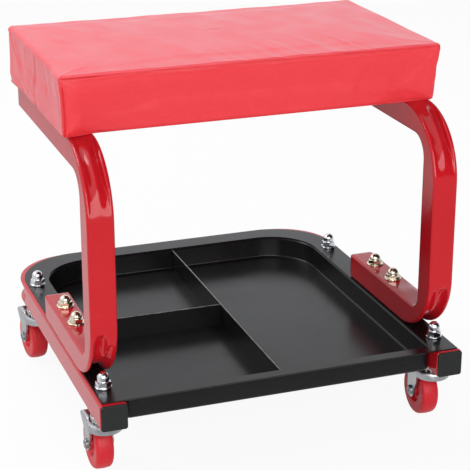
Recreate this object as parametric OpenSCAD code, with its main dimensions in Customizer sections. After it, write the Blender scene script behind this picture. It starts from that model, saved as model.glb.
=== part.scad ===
// Creeper seat: a low rolling stool for a workshop. A U of square tube on four swivel
// casters carries a divided tool tray and two C-shaped legs, and the legs carry a padded seat.
// Frame: origin on the floor under the middle of the stool, X across, Y from the open
// front ends to the rear rail, Z up. Millimetres.

/* [Base frame] */
// Width over the two side rails
base_w = 355; // [320:1:420]
// Depth from the open front ends to the rear rail
base_d = 375; // [350:1:450]
// Outside size of the square base tube
base_tube = 25; // [22:0.5:30]
// Wall of the base tube
base_wall = 1.5; // [1:0.1:2]
// Outside radius of the two rear corners
base_bend_r = 60; // [50:1:80]
// Inside radius of the two rear corners
base_bend_in_r = 28; // [20:1:36]
// How far the bending pressed the outer wall of a corner in
base_crush = 4; // [0:0.5:5]

/* [Legs] */
// Outside size of the square leg tube
leg_tube = 25; // [22:0.5:28]
// Wall of the leg tube
leg_wall = 1.5; // [1:0.1:2]
// Front face of a leg behind the front ends of the base
leg_set = 24.2; // [15:0.1:40]
// Length of the foot that is bolted to the rail, from the front face of the leg
foot_len = 180.4; // [150:0.1:200]
// Length of the arm under the seat, from the front face of the leg
arm_len = 261; // [225:1:280]
// Height of a leg
leg_h = 222; // [180:1:280]
// Outside radius of the lower bend
low_bend_r = 60; // [50:1:70]
// Inside radius of the lower bend
low_bend_in_r = 12.5; // [10:0.5:20]
// Outside radius of the upper bend
top_bend_r = 65; // [55:1:75]
// Inside radius of the upper bend
top_bend_in_r = 21; // [15:0.5:28]
// How far the lower bend pressed the outer wall in
low_crush = 5; // [0:0.5:6]
// How far the upper bend pressed the outer wall in
top_crush = 4; // [0:0.5:6]

/* [Tray] */
// Sheet that the tray is pressed from
tray_sheet = 1; // [0.8:0.1:1.5]
// Depth of the tray from its rim to its underside
tray_depth = 25; // [15:0.5:25.5]
// Red tube left showing outside the rim
rim_inset = 2.5; // [1:0.1:4]
// Front edge of the tray behind the front ends of the tubes
tray_front_set = 3; // [2:0.1:10]
// Radius of the rim at the rear corners
rim_r = 68; // [55:1:80]
// Radius of the pan at the rear corners
pan_r = 52.5; // [40:0.5:60]
// Radius of the pan at the front corners
pan_front_r = 7; // [4:0.5:20]
// Width of the rim in front of the pan
lip_w = 10.75; // [5:0.05:20]
// Thickness of a divider
divider_t = 1.2; // [0.8:0.1:2]
// Top of the dividers below the rim
divider_drop = 1.8; // [1:0.1:6]
// Cross divider from the front edge of the tray, as a share of the depth of the base
cross_share = 0.484; // [0.3:0.01:0.7]

/* [Seat] */
// Overhang of the seat outside a rail
seat_over = 4.8; // [3.5:0.1:30]
// Overhang of the seat behind the ends of the arms
seat_back_over = 7.8; // [4:0.1:20]
// Depth of the seat
seat_d = 214.6; // [190:0.1:230]
// Thickness of the seat at its edges
seat_h = 56; // [45:1:70]
// Rise of the middle of the seat above its edges
seat_crown = 3; // [0:0.5:8]
// Radius of the seat's upright corners
seat_corner_r = 5; // [4:0.5:16]
// Radius of the seat's top edges
seat_edge_r = 6; // [4:0.5:10]
// How far the sides are drawn in between the corners
seat_draw = 1.2; // [0:0.1:3]
// How far the front leans back from the top edge to the underside
seat_front_lean = 8; // [0:0.5:12]
// How far the two ends lean in
seat_end_lean = 3; // [0:0.5:6]
// Thickness of the seat board
board_t = 12; // [9:0.5:18]
// Thickness of the vinyl cover
cover_t = 1; // [0.8:0.1:1.5]
// Width of the cover turned in under the board
cover_turn = 32; // [30:1:50]

/* [Casters] */
// Wheel diameter
wheel_d = 50; // [46:1:56]
// Width of a wheel's tread
wheel_w = 17; // [15:0.5:20]
// Height of a caster, from the floor to the underside of the tube
caster_h = 64.5; // [63:0.5:75]
// Axle behind the swivel axis
caster_trail = 23; // [18:0.5:26]
// Front casters behind the front ends of the tubes
front_caster_in = 33.9; // [31:0.1:35]
// Rear casters in front of the rear face
rear_caster_in = 81.3; // [70:0.1:100]
// Direction in which the front left wheel trails
turn_fl = 91; // [0:1:359]
// Direction in which the front right wheel trails
turn_fr = 88; // [0:1:359]
// Direction in which the rear left wheel trails
turn_rl = 95; // [0:1:359]
// Direction in which the rear right wheel trails
turn_rr = 85; // [0:1:359]
// Radius of the balls in the swivel bearing
ball_r = 2; // [1.6:0.1:2.2]
// Number of balls in a swivel bearing
ball_count = 12; // [8:1:13]

/* [Fasteners] */
// Shank radius of the leg bolts and the caster stems
bolt_r = 4; // [3:0.1:5]
// Size across the flats of their nuts and heads
nut_af = 12.5; // [11:0.5:16]
// Shank radius of the seat bolts
seat_bolt_r = 3; // [2.5:0.1:4]
// Rear leg bolt in front of the rear end of the foot
foot_bolt_in = 33.5; // [20:0.5:50]
// Distance between the two bolts of a foot
foot_bolt_gap = 43; // [30:1:55]
// Distance between the two bolts that hold the seat on an arm
seat_bolt_span = 120; // [80:1:140]

/* [Hidden] */

// Overrun of every cut
cut = 1;
// Clearance of a shank in a drilled hole, and of a shank in a nut
hole_gap = 0.25;
thread_gap = 0.05;
// Running clearance of a pin in its bore and of a ball in its groove
run_gap = 0.05;
// Clearance round a plug pushed into a tube
plug_gap = 0.15;
// Gap between the pan and the inner faces of the rails
pan_gap = 0.3;
// Gap between a divider's end and what it butts against
divider_gap = 0.1;
// Gap between the foam and the cover
foam_gap = 0.3;

// Rounding of a tube's edges
tube_edge_r = 2.6;
// Steps round a bend, outside and inside of the tube
bend_steps = 10;
core_steps = 4;

// Front end cap: thickness outside the tube, edge rounding, depth and wall of its plug
cap_proud = 2.5;
cap_edge_r = 1.6;
cap_plug_len = 14;
cap_plug_wall = 1.6;
// Plug in an end of a leg tube: thickness outside the tube
plug_proud = 1.2;

// Heights of the main levels
rail_z = caster_h + base_tube;
rim_z = rail_z + tray_sheet;
arm_z = rim_z + leg_h;
board_z = arm_z + cover_t;
seat_top_z = arm_z + seat_h;

// Places along the depth
front_y = -(base_d - cap_proud) / 2;
rear_y = (base_d + cap_proud) / 2;
leg_y = front_y + leg_set;
foot_end_y = leg_y + foot_len;
arm_end_y = leg_y + arm_len;
rail_x = (base_w - base_tube) / 2;
foot_bolt_ys = [for (k = [0, 1]) foot_end_y - foot_bolt_in - k * foot_bolt_gap];
seat_w = base_w + 2 * seat_over;
cushion_y = arm_end_y + seat_back_over - seat_d / 2;
seat_bolt_ys = [for (s = [-1, 1]) cushion_y + s * seat_bolt_span / 2];

// Tray outline
rim_x = base_w / 2 - rim_inset;
pan_x = base_w / 2 - base_tube - pan_gap;
pan_rear_y = rear_y - base_tube - pan_gap;
tray_front_y = front_y + tray_front_set;
rim_front_r = 2;
pan_front_y = tray_front_y + lip_w;
tray_under_z = rim_z - tray_depth;
tray_floor_z = tray_under_z + tray_sheet;
divider_z = rim_z - divider_drop;
cross_y = tray_front_y + base_d * cross_share;

// Nuts, heads and washers
washer_r = 8.5;
washer_t = 1.6;
lock_washer_r = 7.9;
lock_washer_t = 2.2;
lock_washer_slot = 1.6;
bolt_head_h = 5.3;
cap_nut_hex_h = 5;
cap_nut_h = 14;
leg_nut_hex_h = 3.6;
leg_nut_h = 10.2;
nut_crown_t = 3;
thread_short = 1;
chamfer = 0.7;
seat_washer_r = 7.5;
seat_washer_t = 1.4;
seat_head_h = 4;
seat_nut_af = 10;
tee_flange_r = 9;
tee_flange_t = 1.2;
tee_barrel_r = 4.2;
tee_barrel_h = 8;

// Caster places: stem and direction of the wheel
front_caster_y = front_y + front_caster_in;
rear_caster_y = rear_y - rear_caster_in;
place_fl = [-rail_x, front_caster_y, turn_fl];
place_fr = [rail_x, front_caster_y, turn_fr];
place_rl = [-rail_x, rear_caster_y, turn_rl];
place_rr = [rail_x, rear_caster_y, turn_rr];
places = [place_fl, place_fr, place_rl, place_rr];

// Swivel bearing: race under the tube, ball track, fork crown below it
race_r = 13;
race_t = 4.4;
race_round_r = 1.2;
track_r = 9.8;
crown_drop = 6.4;
crown_t = 2;
crown_r = 16.4;
crown_round_r = 2.4;
skirt_drop = 14.2;
skirt_t = 1.8;
kingpin_r = 4.5;
rivet_r = 7;
rivet_t = 2.2;
rivet_gap = 0.1;
// Fork arms: sheet, gap to the wheel, flare at the shoulder, side profile
arm_t = 2;
arm_wheel_gap = 1.1;
arm_flare = 3.4;
arm_flare_drop = 27;
arm_shoulder_r = 3.4;
arm_drop = 4.8;
arm_front_x = 4.5;
arm_front_drop = 14;
arm_eye_r = 7;
arm_rear_r = 8;
pocket_r = 14.6;
// Axle rivet and wheel
axle_r = 3;
axle_head_r = 4.8;
axle_head_h = 2.2;
hub_r = 6.4;
hub_gap = 0.2;
recess_r = 12;
recess_depth = 3.6;
tread_round_r = 3.6;
tread_crown = 0.4;
axle_z = wheel_d / 2;
axle_drop = caster_h - axle_z;
fork_in = wheel_w / 2 + arm_wheel_gap;
fork_out = fork_in + arm_t;

$fn = 48;

// One ring of a square tube. Each entry is [1 for the outer wall or 0 for the inner wall,
// depth below that wall, place sideways]. The dents are valleys along the walls.
valley_share = 0.62;
corner_share = 1 - cos(45);
function core_section(h, r, dent_out, dent_in) = [
    [1, 0, r - h], [1, dent_out, 0], [1, 0, h - r], [1, r, h], [0, r, h],
    [0, 0, h - r], [0, dent_in, 0], [0, 0, r - h], [0, r, -h], [1, r, -h]
];
function section(h, r, dent_out, dent_in) = [
    [1, 0, r - h], [1, dent_out * valley_share, (r - h) / 2], [1, dent_out, 0],
    [1, dent_out * valley_share, (h - r) / 2], [1, 0, h - r],
    [1, r * corner_share, h - r * corner_share], [1, r, h],
    [0, r, h], [0, r * corner_share, h - r * corner_share],
    [0, 0, h - r], [0, dent_in * valley_share, (h - r) / 2], [0, dent_in, 0],
    [0, dent_in * valley_share, (r - h) / 2], [0, 0, r - h],
    [0, r * corner_share, r * corner_share - h], [0, r, -h],
    [1, r, -h], [1, r * corner_share, r * corner_share - h]
];

// A station is [inner wall, outer wall, outward normal, dent of the outer wall, of the inner].
// The points of its ring are [across the plane of the bend, then the two in the plane].
function ring(st, h, r, wall) = [
    for (p = wall > 0 ? core_section(h - wall, r, st[3], st[4]) : section(h, r, st[3], st[4]))
        let (q = p[0] == 0 ? st[0] + st[2] * (wall + p[1]) : st[1] - st[2] * (wall + p[1]))
        [p[2], q[0], q[1]]
];

// Straight tube at the distance len from the corner v, on the side d of the bend
function straight(v, d, n, size, len) = [v + d * len - n * size, v + d * len, n, 0, 0];

// Stations through a bend. The outer faces would meet at v, d1 points back along the tube
// and d2 on along it. The walls are pressed in most at the middle of the bend.
end_share = 0.45;
fade_share = 0.15;
fade_len = 12;
fade_end = 32;
function bend(v, d1, d2, size, r_out, r_in, dent_out, dent_in, steps) =
    let (
        c_out = v + r_out * (d1 + d2),
        c_in = v + (size + r_in) * (d1 + d2),
        fade_in = size + r_in + fade_len,
        fade_out = r_out + fade_len
    )
    concat(
        [straight(v, d1, -d2, size, r_out + fade_end)],
        [[v + d1 * fade_in + d2 * size, v + d1 * fade_out, -d2,
            dent_out * fade_share, dent_in * fade_share]],
        [for (k = [0:steps])
            let (
                turn = 90 * k / steps,
                u = -d2 * cos(turn) - d1 * sin(turn),
                w = end_share + (1 - end_share) * sin(2 * turn)
            )
            [c_in + r_in * u, c_out + r_out * u, u, dent_out * w, dent_in * w]],
        [[v + d2 * fade_in + d1 * size, v + d2 * fade_out, -d1,
            dent_out * fade_share, dent_in * fade_share]],
        [straight(v, d2, -d1, size, r_out + fade_end)]
    );

// Closed skin through the stations, wall below the outside of the tube
module skin(stations, size, wall) {
    edge = max(tube_edge_r - wall, tube_edge_r / 3);
    rings = [for (s = stations) ring(s, size / 2, edge, wall)];
    n = len(rings[0]);
    m = len(rings);
    sides = [
        for (i = [0:m - 2]) for (j = [0:n - 1])
            let (a = i * n + j, b = i * n + (j + 1) % n)
            each [[a, b + n, b], [a, a + n, b + n]]
    ];
    hub = m * n;
    near = [for (j = [0:n - 1]) [j, (j + 1) % n, hub]];
    far = [for (j = [0:n - 1]) let (a = hub - n) [a + (j + 1) % n, a + j, hub + 1]];
    polyhedron(
        concat([for (r = rings) each r], [middle(rings[0]), middle(rings[m - 1])]),
        concat(sides, near, far)
    );
}
function middle(points, k = 0, sum = [0, 0, 0]) =
    k == len(points) ? sum / k : middle(points, k + 1, sum + points[k]);

// Base: the plane of the bends is the floor's, so depth of the ring is height
left_corner = [-base_w / 2, rear_y];
right_corner = [base_w / 2, rear_y];
function base_path(over, steps) = concat(
    [straight(left_corner, [0, -1], [-1, 0], base_tube, base_d + over)],
    bend(left_corner, [0, -1], [1, 0], base_tube, base_bend_r, base_bend_in_r,
        base_crush, 0, steps),
    bend(right_corner, [-1, 0], [0, -1], base_tube, base_bend_r, base_bend_in_r,
        base_crush, 0, steps),
    [straight(right_corner, [0, -1], [1, 0], base_tube, base_d + over)]
);

// Leg: the plane of the bends stands upright, [depth, height]
low_corner = [leg_y, rim_z];
top_corner = [leg_y, arm_z];
function leg_path(over, steps) = concat(
    [straight(low_corner, [1, 0], [0, -1], leg_tube, foot_len + over)],
    bend(low_corner, [1, 0], [0, 1], leg_tube, low_bend_r, low_bend_in_r,
        low_crush, low_dent_in, steps),
    bend(top_corner, [0, -1], [1, 0], leg_tube, top_bend_r, top_bend_in_r,
        top_crush, top_dent_in, steps),
    [straight(top_corner, [1, 0], [0, 1], leg_tube, arm_len + over)]
);
low_dent_in = 2;
top_dent_in = 2.4;

// Upright hole through a rail or an arm
module bore(x, y, z, h, r) {
    translate([x, y, z - cut]) cylinder(h = h + 2 * cut, r = r);
}

module base_frame() {
    color("firebrick") difference() {
        base_skin(0, base_path(0, bend_steps));
        base_skin(base_wall, base_path(cut, core_steps));
        for (p = places) bore(p[0], p[1], caster_h, base_tube, bolt_r + hole_gap);
        for (s = [-1, 1]) for (y = foot_bolt_ys)
            bore(s * rail_x, y, caster_h, base_tube, bolt_r + hole_gap);
    }
}

// Puts the ring's sideways axis upright
module base_skin(wall, path) {
    multmatrix([[0, 1, 0, 0], [0, 0, 1, 0], [1, 0, 0, rail_z - base_tube / 2]])
        skin(path, base_tube, wall);
}

module leg(side) {
    color("firebrick") translate([side * rail_x, 0, 0]) difference() {
        skin(leg_path(0, bend_steps), leg_tube, 0);
        skin(leg_path(cut, core_steps), leg_tube, leg_wall);
        for (y = foot_bolt_ys) bore(0, y, rim_z, leg_tube, bolt_r + hole_gap);
        for (y = seat_bolt_ys)
            bore(0, y, arm_z - leg_tube, leg_tube, seat_bolt_r + hole_gap);
    }
}

// Square plate with rounded corners, lying on z = 0
module square_plate(w, d, h, r) {
    linear_extrude(h) rounded(w, d, r);
}
module rounded(w, d, r) {
    for (s = [-1, 1]) translate([s * (w / 2 - r), 0]) {
        square([2 * r, d - 2 * r], center = true);
        for (t = [-1, 1]) translate([0, t * (d / 2 - r)]) circle(r);
    }
    square([w - 2 * r, d], center = true);
}

// Cap in a front end of the base: bevelled plate and a hollow plug behind it
module end_cap(side) {
    plug = base_tube - 2 * base_wall - 2 * plug_gap;
    inner = base_tube - 2 * cap_edge_r;
    color("darkslategray")
        translate([side * rail_x, front_y, rail_z - base_tube / 2]) rotate([90, 0, 0]) {
            square_plate(base_tube, base_tube, cap_proud - cap_edge_r, tube_edge_r);
            translate([0, 0, cap_proud - cap_edge_r])
                taper(base_tube, inner, cap_edge_r, tube_edge_r);
            translate([0, 0, -cap_plug_len]) difference() {
                square_plate(plug, plug, cap_plug_len, tube_edge_r);
                translate([0, 0, -cut]) linear_extrude(cap_plug_len)
                    square(plug - 2 * cap_plug_wall, center = true);
            }
        }
}

// Edge of a cap: steps of a quarter round
edge_steps = 4;
module taper(w, w_end, h, r) {
    for (k = [0:edge_steps - 1])
        let (a = 90 * k / edge_steps, b = 90 * (k + 1) / edge_steps, run = (w - w_end) / 2)
        translate([0, 0, h * sin(a)])
            square_plate(w - 2 * run * (1 - cos(b)), w - 2 * run * (1 - cos(b)),
                h * (sin(b) - sin(a)), r);
}

// Plugs in the ends of the leg tubes, lying along Y
module leg_end_plugs() {
    plug = leg_tube - 2 * leg_wall - 2 * plug_gap;
    lip = leg_tube - 2 * plug_gap;
    color("darkslategray") for (s = [-1, 1]) {
        for (e = [[foot_end_y, rim_z + leg_tube / 2], [arm_end_y, arm_z - leg_tube / 2]])
            translate([s * rail_x, e[0], e[1]]) rotate([-90, 0, 0]) {
                square_plate(lip, lip, plug_proud, tube_edge_r);
                translate([0, 0, -cap_plug_len]) difference() {
                    square_plate(plug, plug, cap_plug_len, tube_edge_r);
                    translate([0, 0, -cut]) linear_extrude(cap_plug_len)
                        square(plug - 2 * cap_plug_wall, center = true);
                }
            }
    }
}

// Plan of the rim or of the pan: half width, front, rear, radii at the rear and at the front
module plan(x, front, rear, r_rear, r_front) {
    for (s = [-1, 1]) {
        translate([s * (x - r_rear), rear - r_rear]) circle(r_rear, $fn = 96);
        translate([s * (x - r_front), front + r_front]) circle(r_front);
    }
    translate([r_rear - x, front]) square([2 * (x - r_rear), rear - front]);
    translate([-x, front + r_front]) square([2 * x, rear - r_rear - front - r_front]);
    translate([r_front - x, front]) square([2 * (x - r_front), r_rear]);
}

module tool_tray() {
    inner = tray_sheet;
    color("dimgray") difference() {
        union() {
            translate([0, 0, rim_z - tray_sheet]) linear_extrude(tray_sheet)
                plan(rim_x, tray_front_y, rear_y - rim_inset, rim_r, rim_front_r);
            translate([0, 0, tray_under_z]) linear_extrude(tray_depth)
                plan(pan_x, pan_front_y, pan_rear_y, pan_r, pan_front_r);
        }
        translate([0, 0, tray_floor_z]) linear_extrude(tray_depth)
            plan(pan_x - inner, pan_front_y + inner, pan_rear_y - inner,
                pan_r - inner, pan_front_r - inner);
        for (p = places) bore(p[0], p[1], rail_z, tray_sheet, bolt_r + hole_gap);
        for (s = [-1, 1]) for (y = foot_bolt_ys)
            bore(s * rail_x, y, rail_z, tray_sheet, bolt_r + hole_gap);
    }
}

// Dividers stand on the floor
module tray_divider_long() {
    y0 = pan_front_y + tray_sheet + divider_gap;
    y1 = pan_rear_y - tray_sheet - divider_gap;
    color("gray") translate([-divider_t / 2, y0, tray_floor_z])
        cube([divider_t, y1 - y0, divider_z - tray_floor_z]);
}

module tray_divider_cross() {
    x0 = tray_sheet + divider_gap - pan_x;
    x1 = -divider_t / 2 - divider_gap;
    color("gray") translate([x0, cross_y - divider_t / 2, tray_floor_z])
        cube([x1 - x0, divider_t, divider_z - tray_floor_z]);
}

// Hexagon prism, bevelled at the end that is not seated
module hex(af, h) {
    r = af / 2 / cos(30);
    intersection() {
        cylinder(h = h, r = r, $fn = 6);
        rotate_extrude() polygon([[0, 0], [r, 0], [r, h - chamfer], [af / 2, h], [0, h]]);
    }
}
module flat_washer(r, hole, t) {
    difference() {
        cylinder(h = t, r = r);
        translate([0, 0, -cut]) cylinder(h = t + 2 * cut, r = hole);
    }
}

// Domed nut on a seat at z = 0, with its blind hole
dome_steps = 8;
module cap_nut(h, hex_h) {
    dome_r = nut_af / 2 - chamfer;
    wall_h = h - dome_r;
    difference() {
        union() {
            hex(nut_af, hex_h);
            rotate_extrude() polygon(concat(
                [[0, 0], [dome_r, 0], [dome_r, wall_h]],
                [for (k = [1:dome_steps])
                    let (a = 90 * k / dome_steps)
                    [dome_r * cos(a), wall_h + dome_r * sin(a)]]
            ));
        }
        translate([0, 0, -cut]) cylinder(h = h - nut_crown_t + cut, r = bolt_r + thread_gap);
    }
}

module at_leg_bolts() {
    for (s = [-1, 1]) for (y = foot_bolt_ys) translate([s * rail_x, y, 0]) children();
}
module leg_bolts() {
    top = rim_z + leg_tube + washer_t + leg_nut_h - nut_crown_t - thread_short;
    head_z = caster_h - washer_t;
    color("silver") at_leg_bolts() {
        translate([0, 0, head_z]) mirror([0, 0, 1]) hex(nut_af, bolt_head_h);
        translate([0, 0, head_z - bolt_head_h / 2])
            cylinder(h = top - head_z + bolt_head_h / 2, r = bolt_r);
    }
}
module leg_bolt_washers() {
    color("silver") at_leg_bolts() translate([0, 0, caster_h - washer_t])
        flat_washer(washer_r, bolt_r + hole_gap, washer_t);
}
module leg_nut_washers() {
    color("silver") at_leg_bolts() translate([0, 0, rim_z + leg_tube])
        flat_washer(washer_r, bolt_r + hole_gap, washer_t);
}
module leg_cap_nuts() {
    color("gainsboro") at_leg_bolts() translate([0, 0, rim_z + leg_tube + washer_t])
        cap_nut(leg_nut_h, leg_nut_hex_h);
}

// Outline of the cushion, inset all round, its sides drawn in between the corners
side_steps = 4;
corner_steps = 3;
function side_pull(t) = 1 - pow(2 * t - 1, 2);
function pad_loop(inset, pull, lean) =
    let (
        r = max(seat_corner_r - inset, seat_corner_r / 6),
        x = seat_w / 2 - inset - lean * seat_end_lean,
        shift = [0, lean * seat_front_lean / 2],
        y = seat_d / 2 - inset - lean * seat_front_lean / 2
    )
    [for (q = [0:3])
        let (
            sx = q == 0 || q == 3 ? 1 : -1,
            sy = q < 2 ? 1 : -1,
            c = [sx * (x - r), sy * (y - r)],
            a = 90 * q,
            c_next = q % 2 == 0 ? [-c[0], c[1]] : [c[0], -c[1]],
            n = [cos(a + 90), sin(a + 90)]
        )
        each concat(
            [for (k = [0:corner_steps])
                let (b = a + 90 * k / corner_steps) c + shift + r * [cos(b), sin(b)]],
            [for (k = [1:side_steps - 1])
                let (t = k / side_steps)
                c + shift + (c_next - c) * t + n * (r - pull * side_pull(t))]
        )];

// Levels of the cushion: [inset, pull, height, share of the outline]
round_steps = 3;
crown_steps = 3;
wall_steps = 3;
function lean_at(z) = max(0, 1 - (z - arm_z) / seat_h);
function draw_at(z) = seat_draw * sin(150 * (z - arm_z) / (seat_h - seat_edge_r));
function pad_levels(inset, z0, z1) =
    let (
        r = max(seat_edge_r - inset, seat_edge_r / 2),
        side = z1 - r - z0
    )
    concat(
        [for (k = [0:wall_steps])
            let (z = z0 + side * k / wall_steps) [inset, draw_at(z), z, 1]],
        [for (k = [1:round_steps])
            let (a = 90 * k / round_steps)
            [inset + r * (1 - cos(a)), seat_draw / 2, z1 - r + r * sin(a), 1]],
        [for (k = [1:crown_steps])
            let (t = k / (crown_steps + 1))
            [inset + r, seat_draw / 2, z1 + seat_crown * sin(90 * t), 1 - t]]
    );
module pad(inset, z0, z1) {
    levels = pad_levels(inset, z0, z1);
    loops = [for (v = levels)
        [for (p = pad_loop(v[0], v[1], lean_at(v[2]))) [p[0] * v[3], p[1] * v[3], v[2]]]];
    n = len(loops[0]);
    m = len(loops);
    sides = [
        for (i = [0:m - 2]) for (j = [0:n - 1])
            let (a = i * n + j, b = i * n + (j + 1) % n)
            each [[a, b + n, b], [a, a + n, b + n]]
    ];
    peak = m * n;
    top = [for (j = [0:n - 1]) [peak - n + j, peak, peak - n + (j + 1) % n]];
    bottom = [for (j = [0:n - 1]) [j, (j + 1) % n, peak + 1]];
    polyhedron(
        concat([for (l = loops) each l], [[0, 0, z1 + seat_crown], [0, 0, z0]]),
        concat(sides, top, bottom)
    );
}
foam_in = cover_t + foam_gap;
board_in = foam_in + seat_draw;
module seat_board() {
    color("burlywood") difference() {
        translate([0, cushion_y + seat_front_lean / 2, board_z])
            square_plate(seat_w - 2 * (board_in + seat_end_lean),
                seat_d - 2 * board_in - seat_front_lean, board_t, seat_corner_r);
        for (s = [-1, 1]) for (y = seat_bolt_ys)
            bore(s * rail_x, y, board_z, board_t, tee_barrel_r);
    }
}
module seat_foam() {
    color("beige") difference() {
        translate([0, cushion_y, 0])
            pad(foam_in, board_z + board_t, seat_top_z - foam_in);
        for (s = [-1, 1]) for (y = seat_bolt_ys)
            translate([s * rail_x, y, board_z + board_t - cut])
                cylinder(h = tee_flange_t + cut, r = tee_flange_r + hole_gap);
    }
}
module seat_cover() {
    hole_w = seat_w - 2 * cover_turn;
    hole_d = seat_d - 2 * cover_turn - seat_front_lean;
    color("indianred") difference() {
        translate([0, cushion_y, 0]) pad(0, arm_z, seat_top_z);
        translate([0, cushion_y, 0]) pad(cover_t, board_z, seat_top_z - cover_t);
        translate([0, cushion_y + seat_front_lean / 2, arm_z - cut])
            square_plate(hole_w, hole_d, cover_t + 2 * cut, seat_corner_r);
        for (s = [-1, 1]) for (y = seat_bolt_ys)
            bore(s * rail_x, y, arm_z, cover_t, seat_bolt_r + hole_gap);
    }
}

module at_seat_bolts() {
    for (s = [-1, 1]) for (y = seat_bolt_ys) translate([s * rail_x, y, 0]) children();
}
seat_head_z = arm_z - leg_tube - seat_washer_t;
module seat_bolts() {
    top = board_z + board_t;
    color("silver") at_seat_bolts() {
        translate([0, 0, seat_head_z]) mirror([0, 0, 1]) hex(seat_nut_af, seat_head_h);
        translate([0, 0, seat_head_z - seat_head_h / 2])
            cylinder(h = top - seat_head_z + seat_head_h / 2, r = seat_bolt_r);
    }
}
module seat_bolt_washers() {
    color("silver") at_seat_bolts() translate([0, 0, seat_head_z])
        flat_washer(seat_washer_r, seat_bolt_r + hole_gap, seat_washer_t);
}
module seat_tee_nuts() {
    top = board_z + board_t;
    color("silver") at_seat_bolts() difference() {
        union() {
            translate([0, 0, top]) cylinder(h = tee_flange_t, r = tee_flange_r);
            translate([0, 0, top - tee_barrel_h]) cylinder(h = tee_barrel_h + tee_flange_t / 2,
                r = tee_barrel_r - thread_gap);
        }
        translate([0, 0, top - tee_barrel_h - cut])
            cylinder(h = tee_barrel_h + tee_flange_t + 2 * cut, r = seat_bolt_r + thread_gap);
    }
}

module at_stems() {
    for (p = places) translate([p[0], p[1], 0]) children();
}
module caster_lock_washers() {
    color("silver") at_stems() translate([0, 0, rim_z]) difference() {
        flat_washer(lock_washer_r, bolt_r + hole_gap, lock_washer_t);
        rotate(35) translate([0, -lock_washer_slot / 2, -cut])
            cube([2 * lock_washer_r, lock_washer_slot, lock_washer_t + 2 * cut]);
    }
}
module caster_cap_nuts() {
    color("gainsboro") at_stems() translate([0, 0, rim_z + lock_washer_t])
        rotate(17) cap_nut(cap_nut_h, cap_nut_hex_h);
}

// Caster frame: the stem's axis is Z and the wheel trails along +X
module caster_frame(p) {
    translate([p[0], p[1], caster_h]) rotate(p[2]) children();
}

// Stem: shank up through the rail, kingpin through the crown, rivet head below it
module stem(p) {
    top = base_tube + tray_sheet + lock_washer_t + cap_nut_h - nut_crown_t - thread_short;
    seat = crown_drop + crown_t + rivet_gap;
    color("silver") caster_frame(p) rotate_extrude() polygon([
        [0, top], [bolt_r - chamfer, top], [bolt_r, top - chamfer], [bolt_r, -race_t],
        [kingpin_r, -race_t], [kingpin_r, -seat], [rivet_r, -seat],
        [rivet_r, -seat - rivet_t / 2], [rivet_r - rivet_t / 2, -seat - rivet_t],
        [0, -seat - rivet_t]
    ]);
}

// Ball track cut, shared by the race and the crown
module track() {
    translate([0, 0, -(race_t + crown_drop) / 2])
        rotate_extrude() translate([track_r, 0]) circle(ball_r + run_gap, $fn = 32);
}
module race(p) {
    color("silver") caster_frame(p) difference() {
        rotate_extrude() polygon([
            [0, 0], [race_r - race_round_r, 0], [race_r, -race_round_r],
            [race_r, -race_t], [0, -race_t]
        ]);
        translate([0, 0, -race_t - cut]) cylinder(h = race_t + 2 * cut, r = bolt_r + hole_gap);
        track();
    }
}
module balls(p) {
    color("gainsboro") caster_frame(p)
        for (k = [0:ball_count - 1]) rotate(360 * k / ball_count)
            translate([track_r, 0, -(race_t + crown_drop) / 2]) sphere(ball_r, $fn = 24);
}

// Half of the arms' section, seen along X: [sideways, height]
shoulder_steps = 4;
function arm_half(grow) =
    let (
        r = arm_shoulder_r - grow,
        top = -arm_drop - grow,
        wide = fork_out + arm_flare - grow
    )
    concat(
        [[fork_out - grow, -axle_drop - 2 * arm_eye_r], [fork_out - grow, -arm_flare_drop]],
        [for (k = [0:shoulder_steps])
            let (a = 90 * k / shoulder_steps) [wide - r + r * cos(a), top - r + r * sin(a)]]
    );
module arm_section(grow) {
    half = arm_half(grow);
    n = len(half);
    polygon(concat(half, [for (k = [n - 1:-1:0]) [-half[k][0], half[k][1]]]));
}

// Arms seen from the side: [along the trail, height]
module arm_side() {
    x = caster_trail;
    eye = -axle_drop;
    translate([x, eye]) circle(arm_eye_r);
    polygon([
        [arm_front_x, -arm_drop + cut], [arm_front_x, -arm_front_drop],
        [x - arm_eye_r * cos(12), eye + arm_eye_r * sin(12)], [x, eye],
        [x + arm_eye_r, eye], [x + arm_eye_r, -arm_drop - arm_rear_r],
        [x + arm_eye_r - arm_rear_r, -arm_drop + cut]
    ]);
    translate([x + arm_eye_r - arm_rear_r, -arm_drop - arm_rear_r]) circle(arm_rear_r);
}
module fork(p) {
    far = crown_r + 2 * caster_trail;
    hub = fork_out + arm_flare + cut;
    color("lightgray") caster_frame(p) difference() {
        union() {
            rotate_extrude() polygon([
                [0, -crown_drop], [crown_r - crown_round_r, -crown_drop],
                [crown_r - crown_round_r * corner_share, -crown_drop - crown_round_r * corner_share],
                [crown_r, -crown_drop - crown_round_r], [crown_r, -skirt_drop],
                [crown_r - skirt_t, -skirt_drop],
                [crown_r - skirt_t, -crown_drop - crown_t], [0, -crown_drop - crown_t]
            ]);
            difference() {
                intersection() {
                    rotate([90, 0, 90]) linear_extrude(far) difference() {
                        arm_section(0);
                        arm_section(arm_t);
                    }
                    rotate([90, 0, 0]) linear_extrude(2 * hub, center = true) arm_side();
                }
                translate([0, 0, -crown_drop]) cylinder(h = crown_drop, r = pocket_r);
            }
        }
        translate([0, 0, -crown_drop - crown_t - cut])
            cylinder(h = crown_t + 2 * cut, r = kingpin_r + run_gap);
        translate([0, 0, -skirt_drop - cut])
            cylinder(h = skirt_drop + cut - crown_drop - crown_t, r = rivet_r + 2 * cut);
        translate([caster_trail, 0, -axle_drop]) rotate([90, 0, 0])
            cylinder(h = 2 * hub, r = axle_r + run_gap, center = true);
        track();
    }
}

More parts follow.
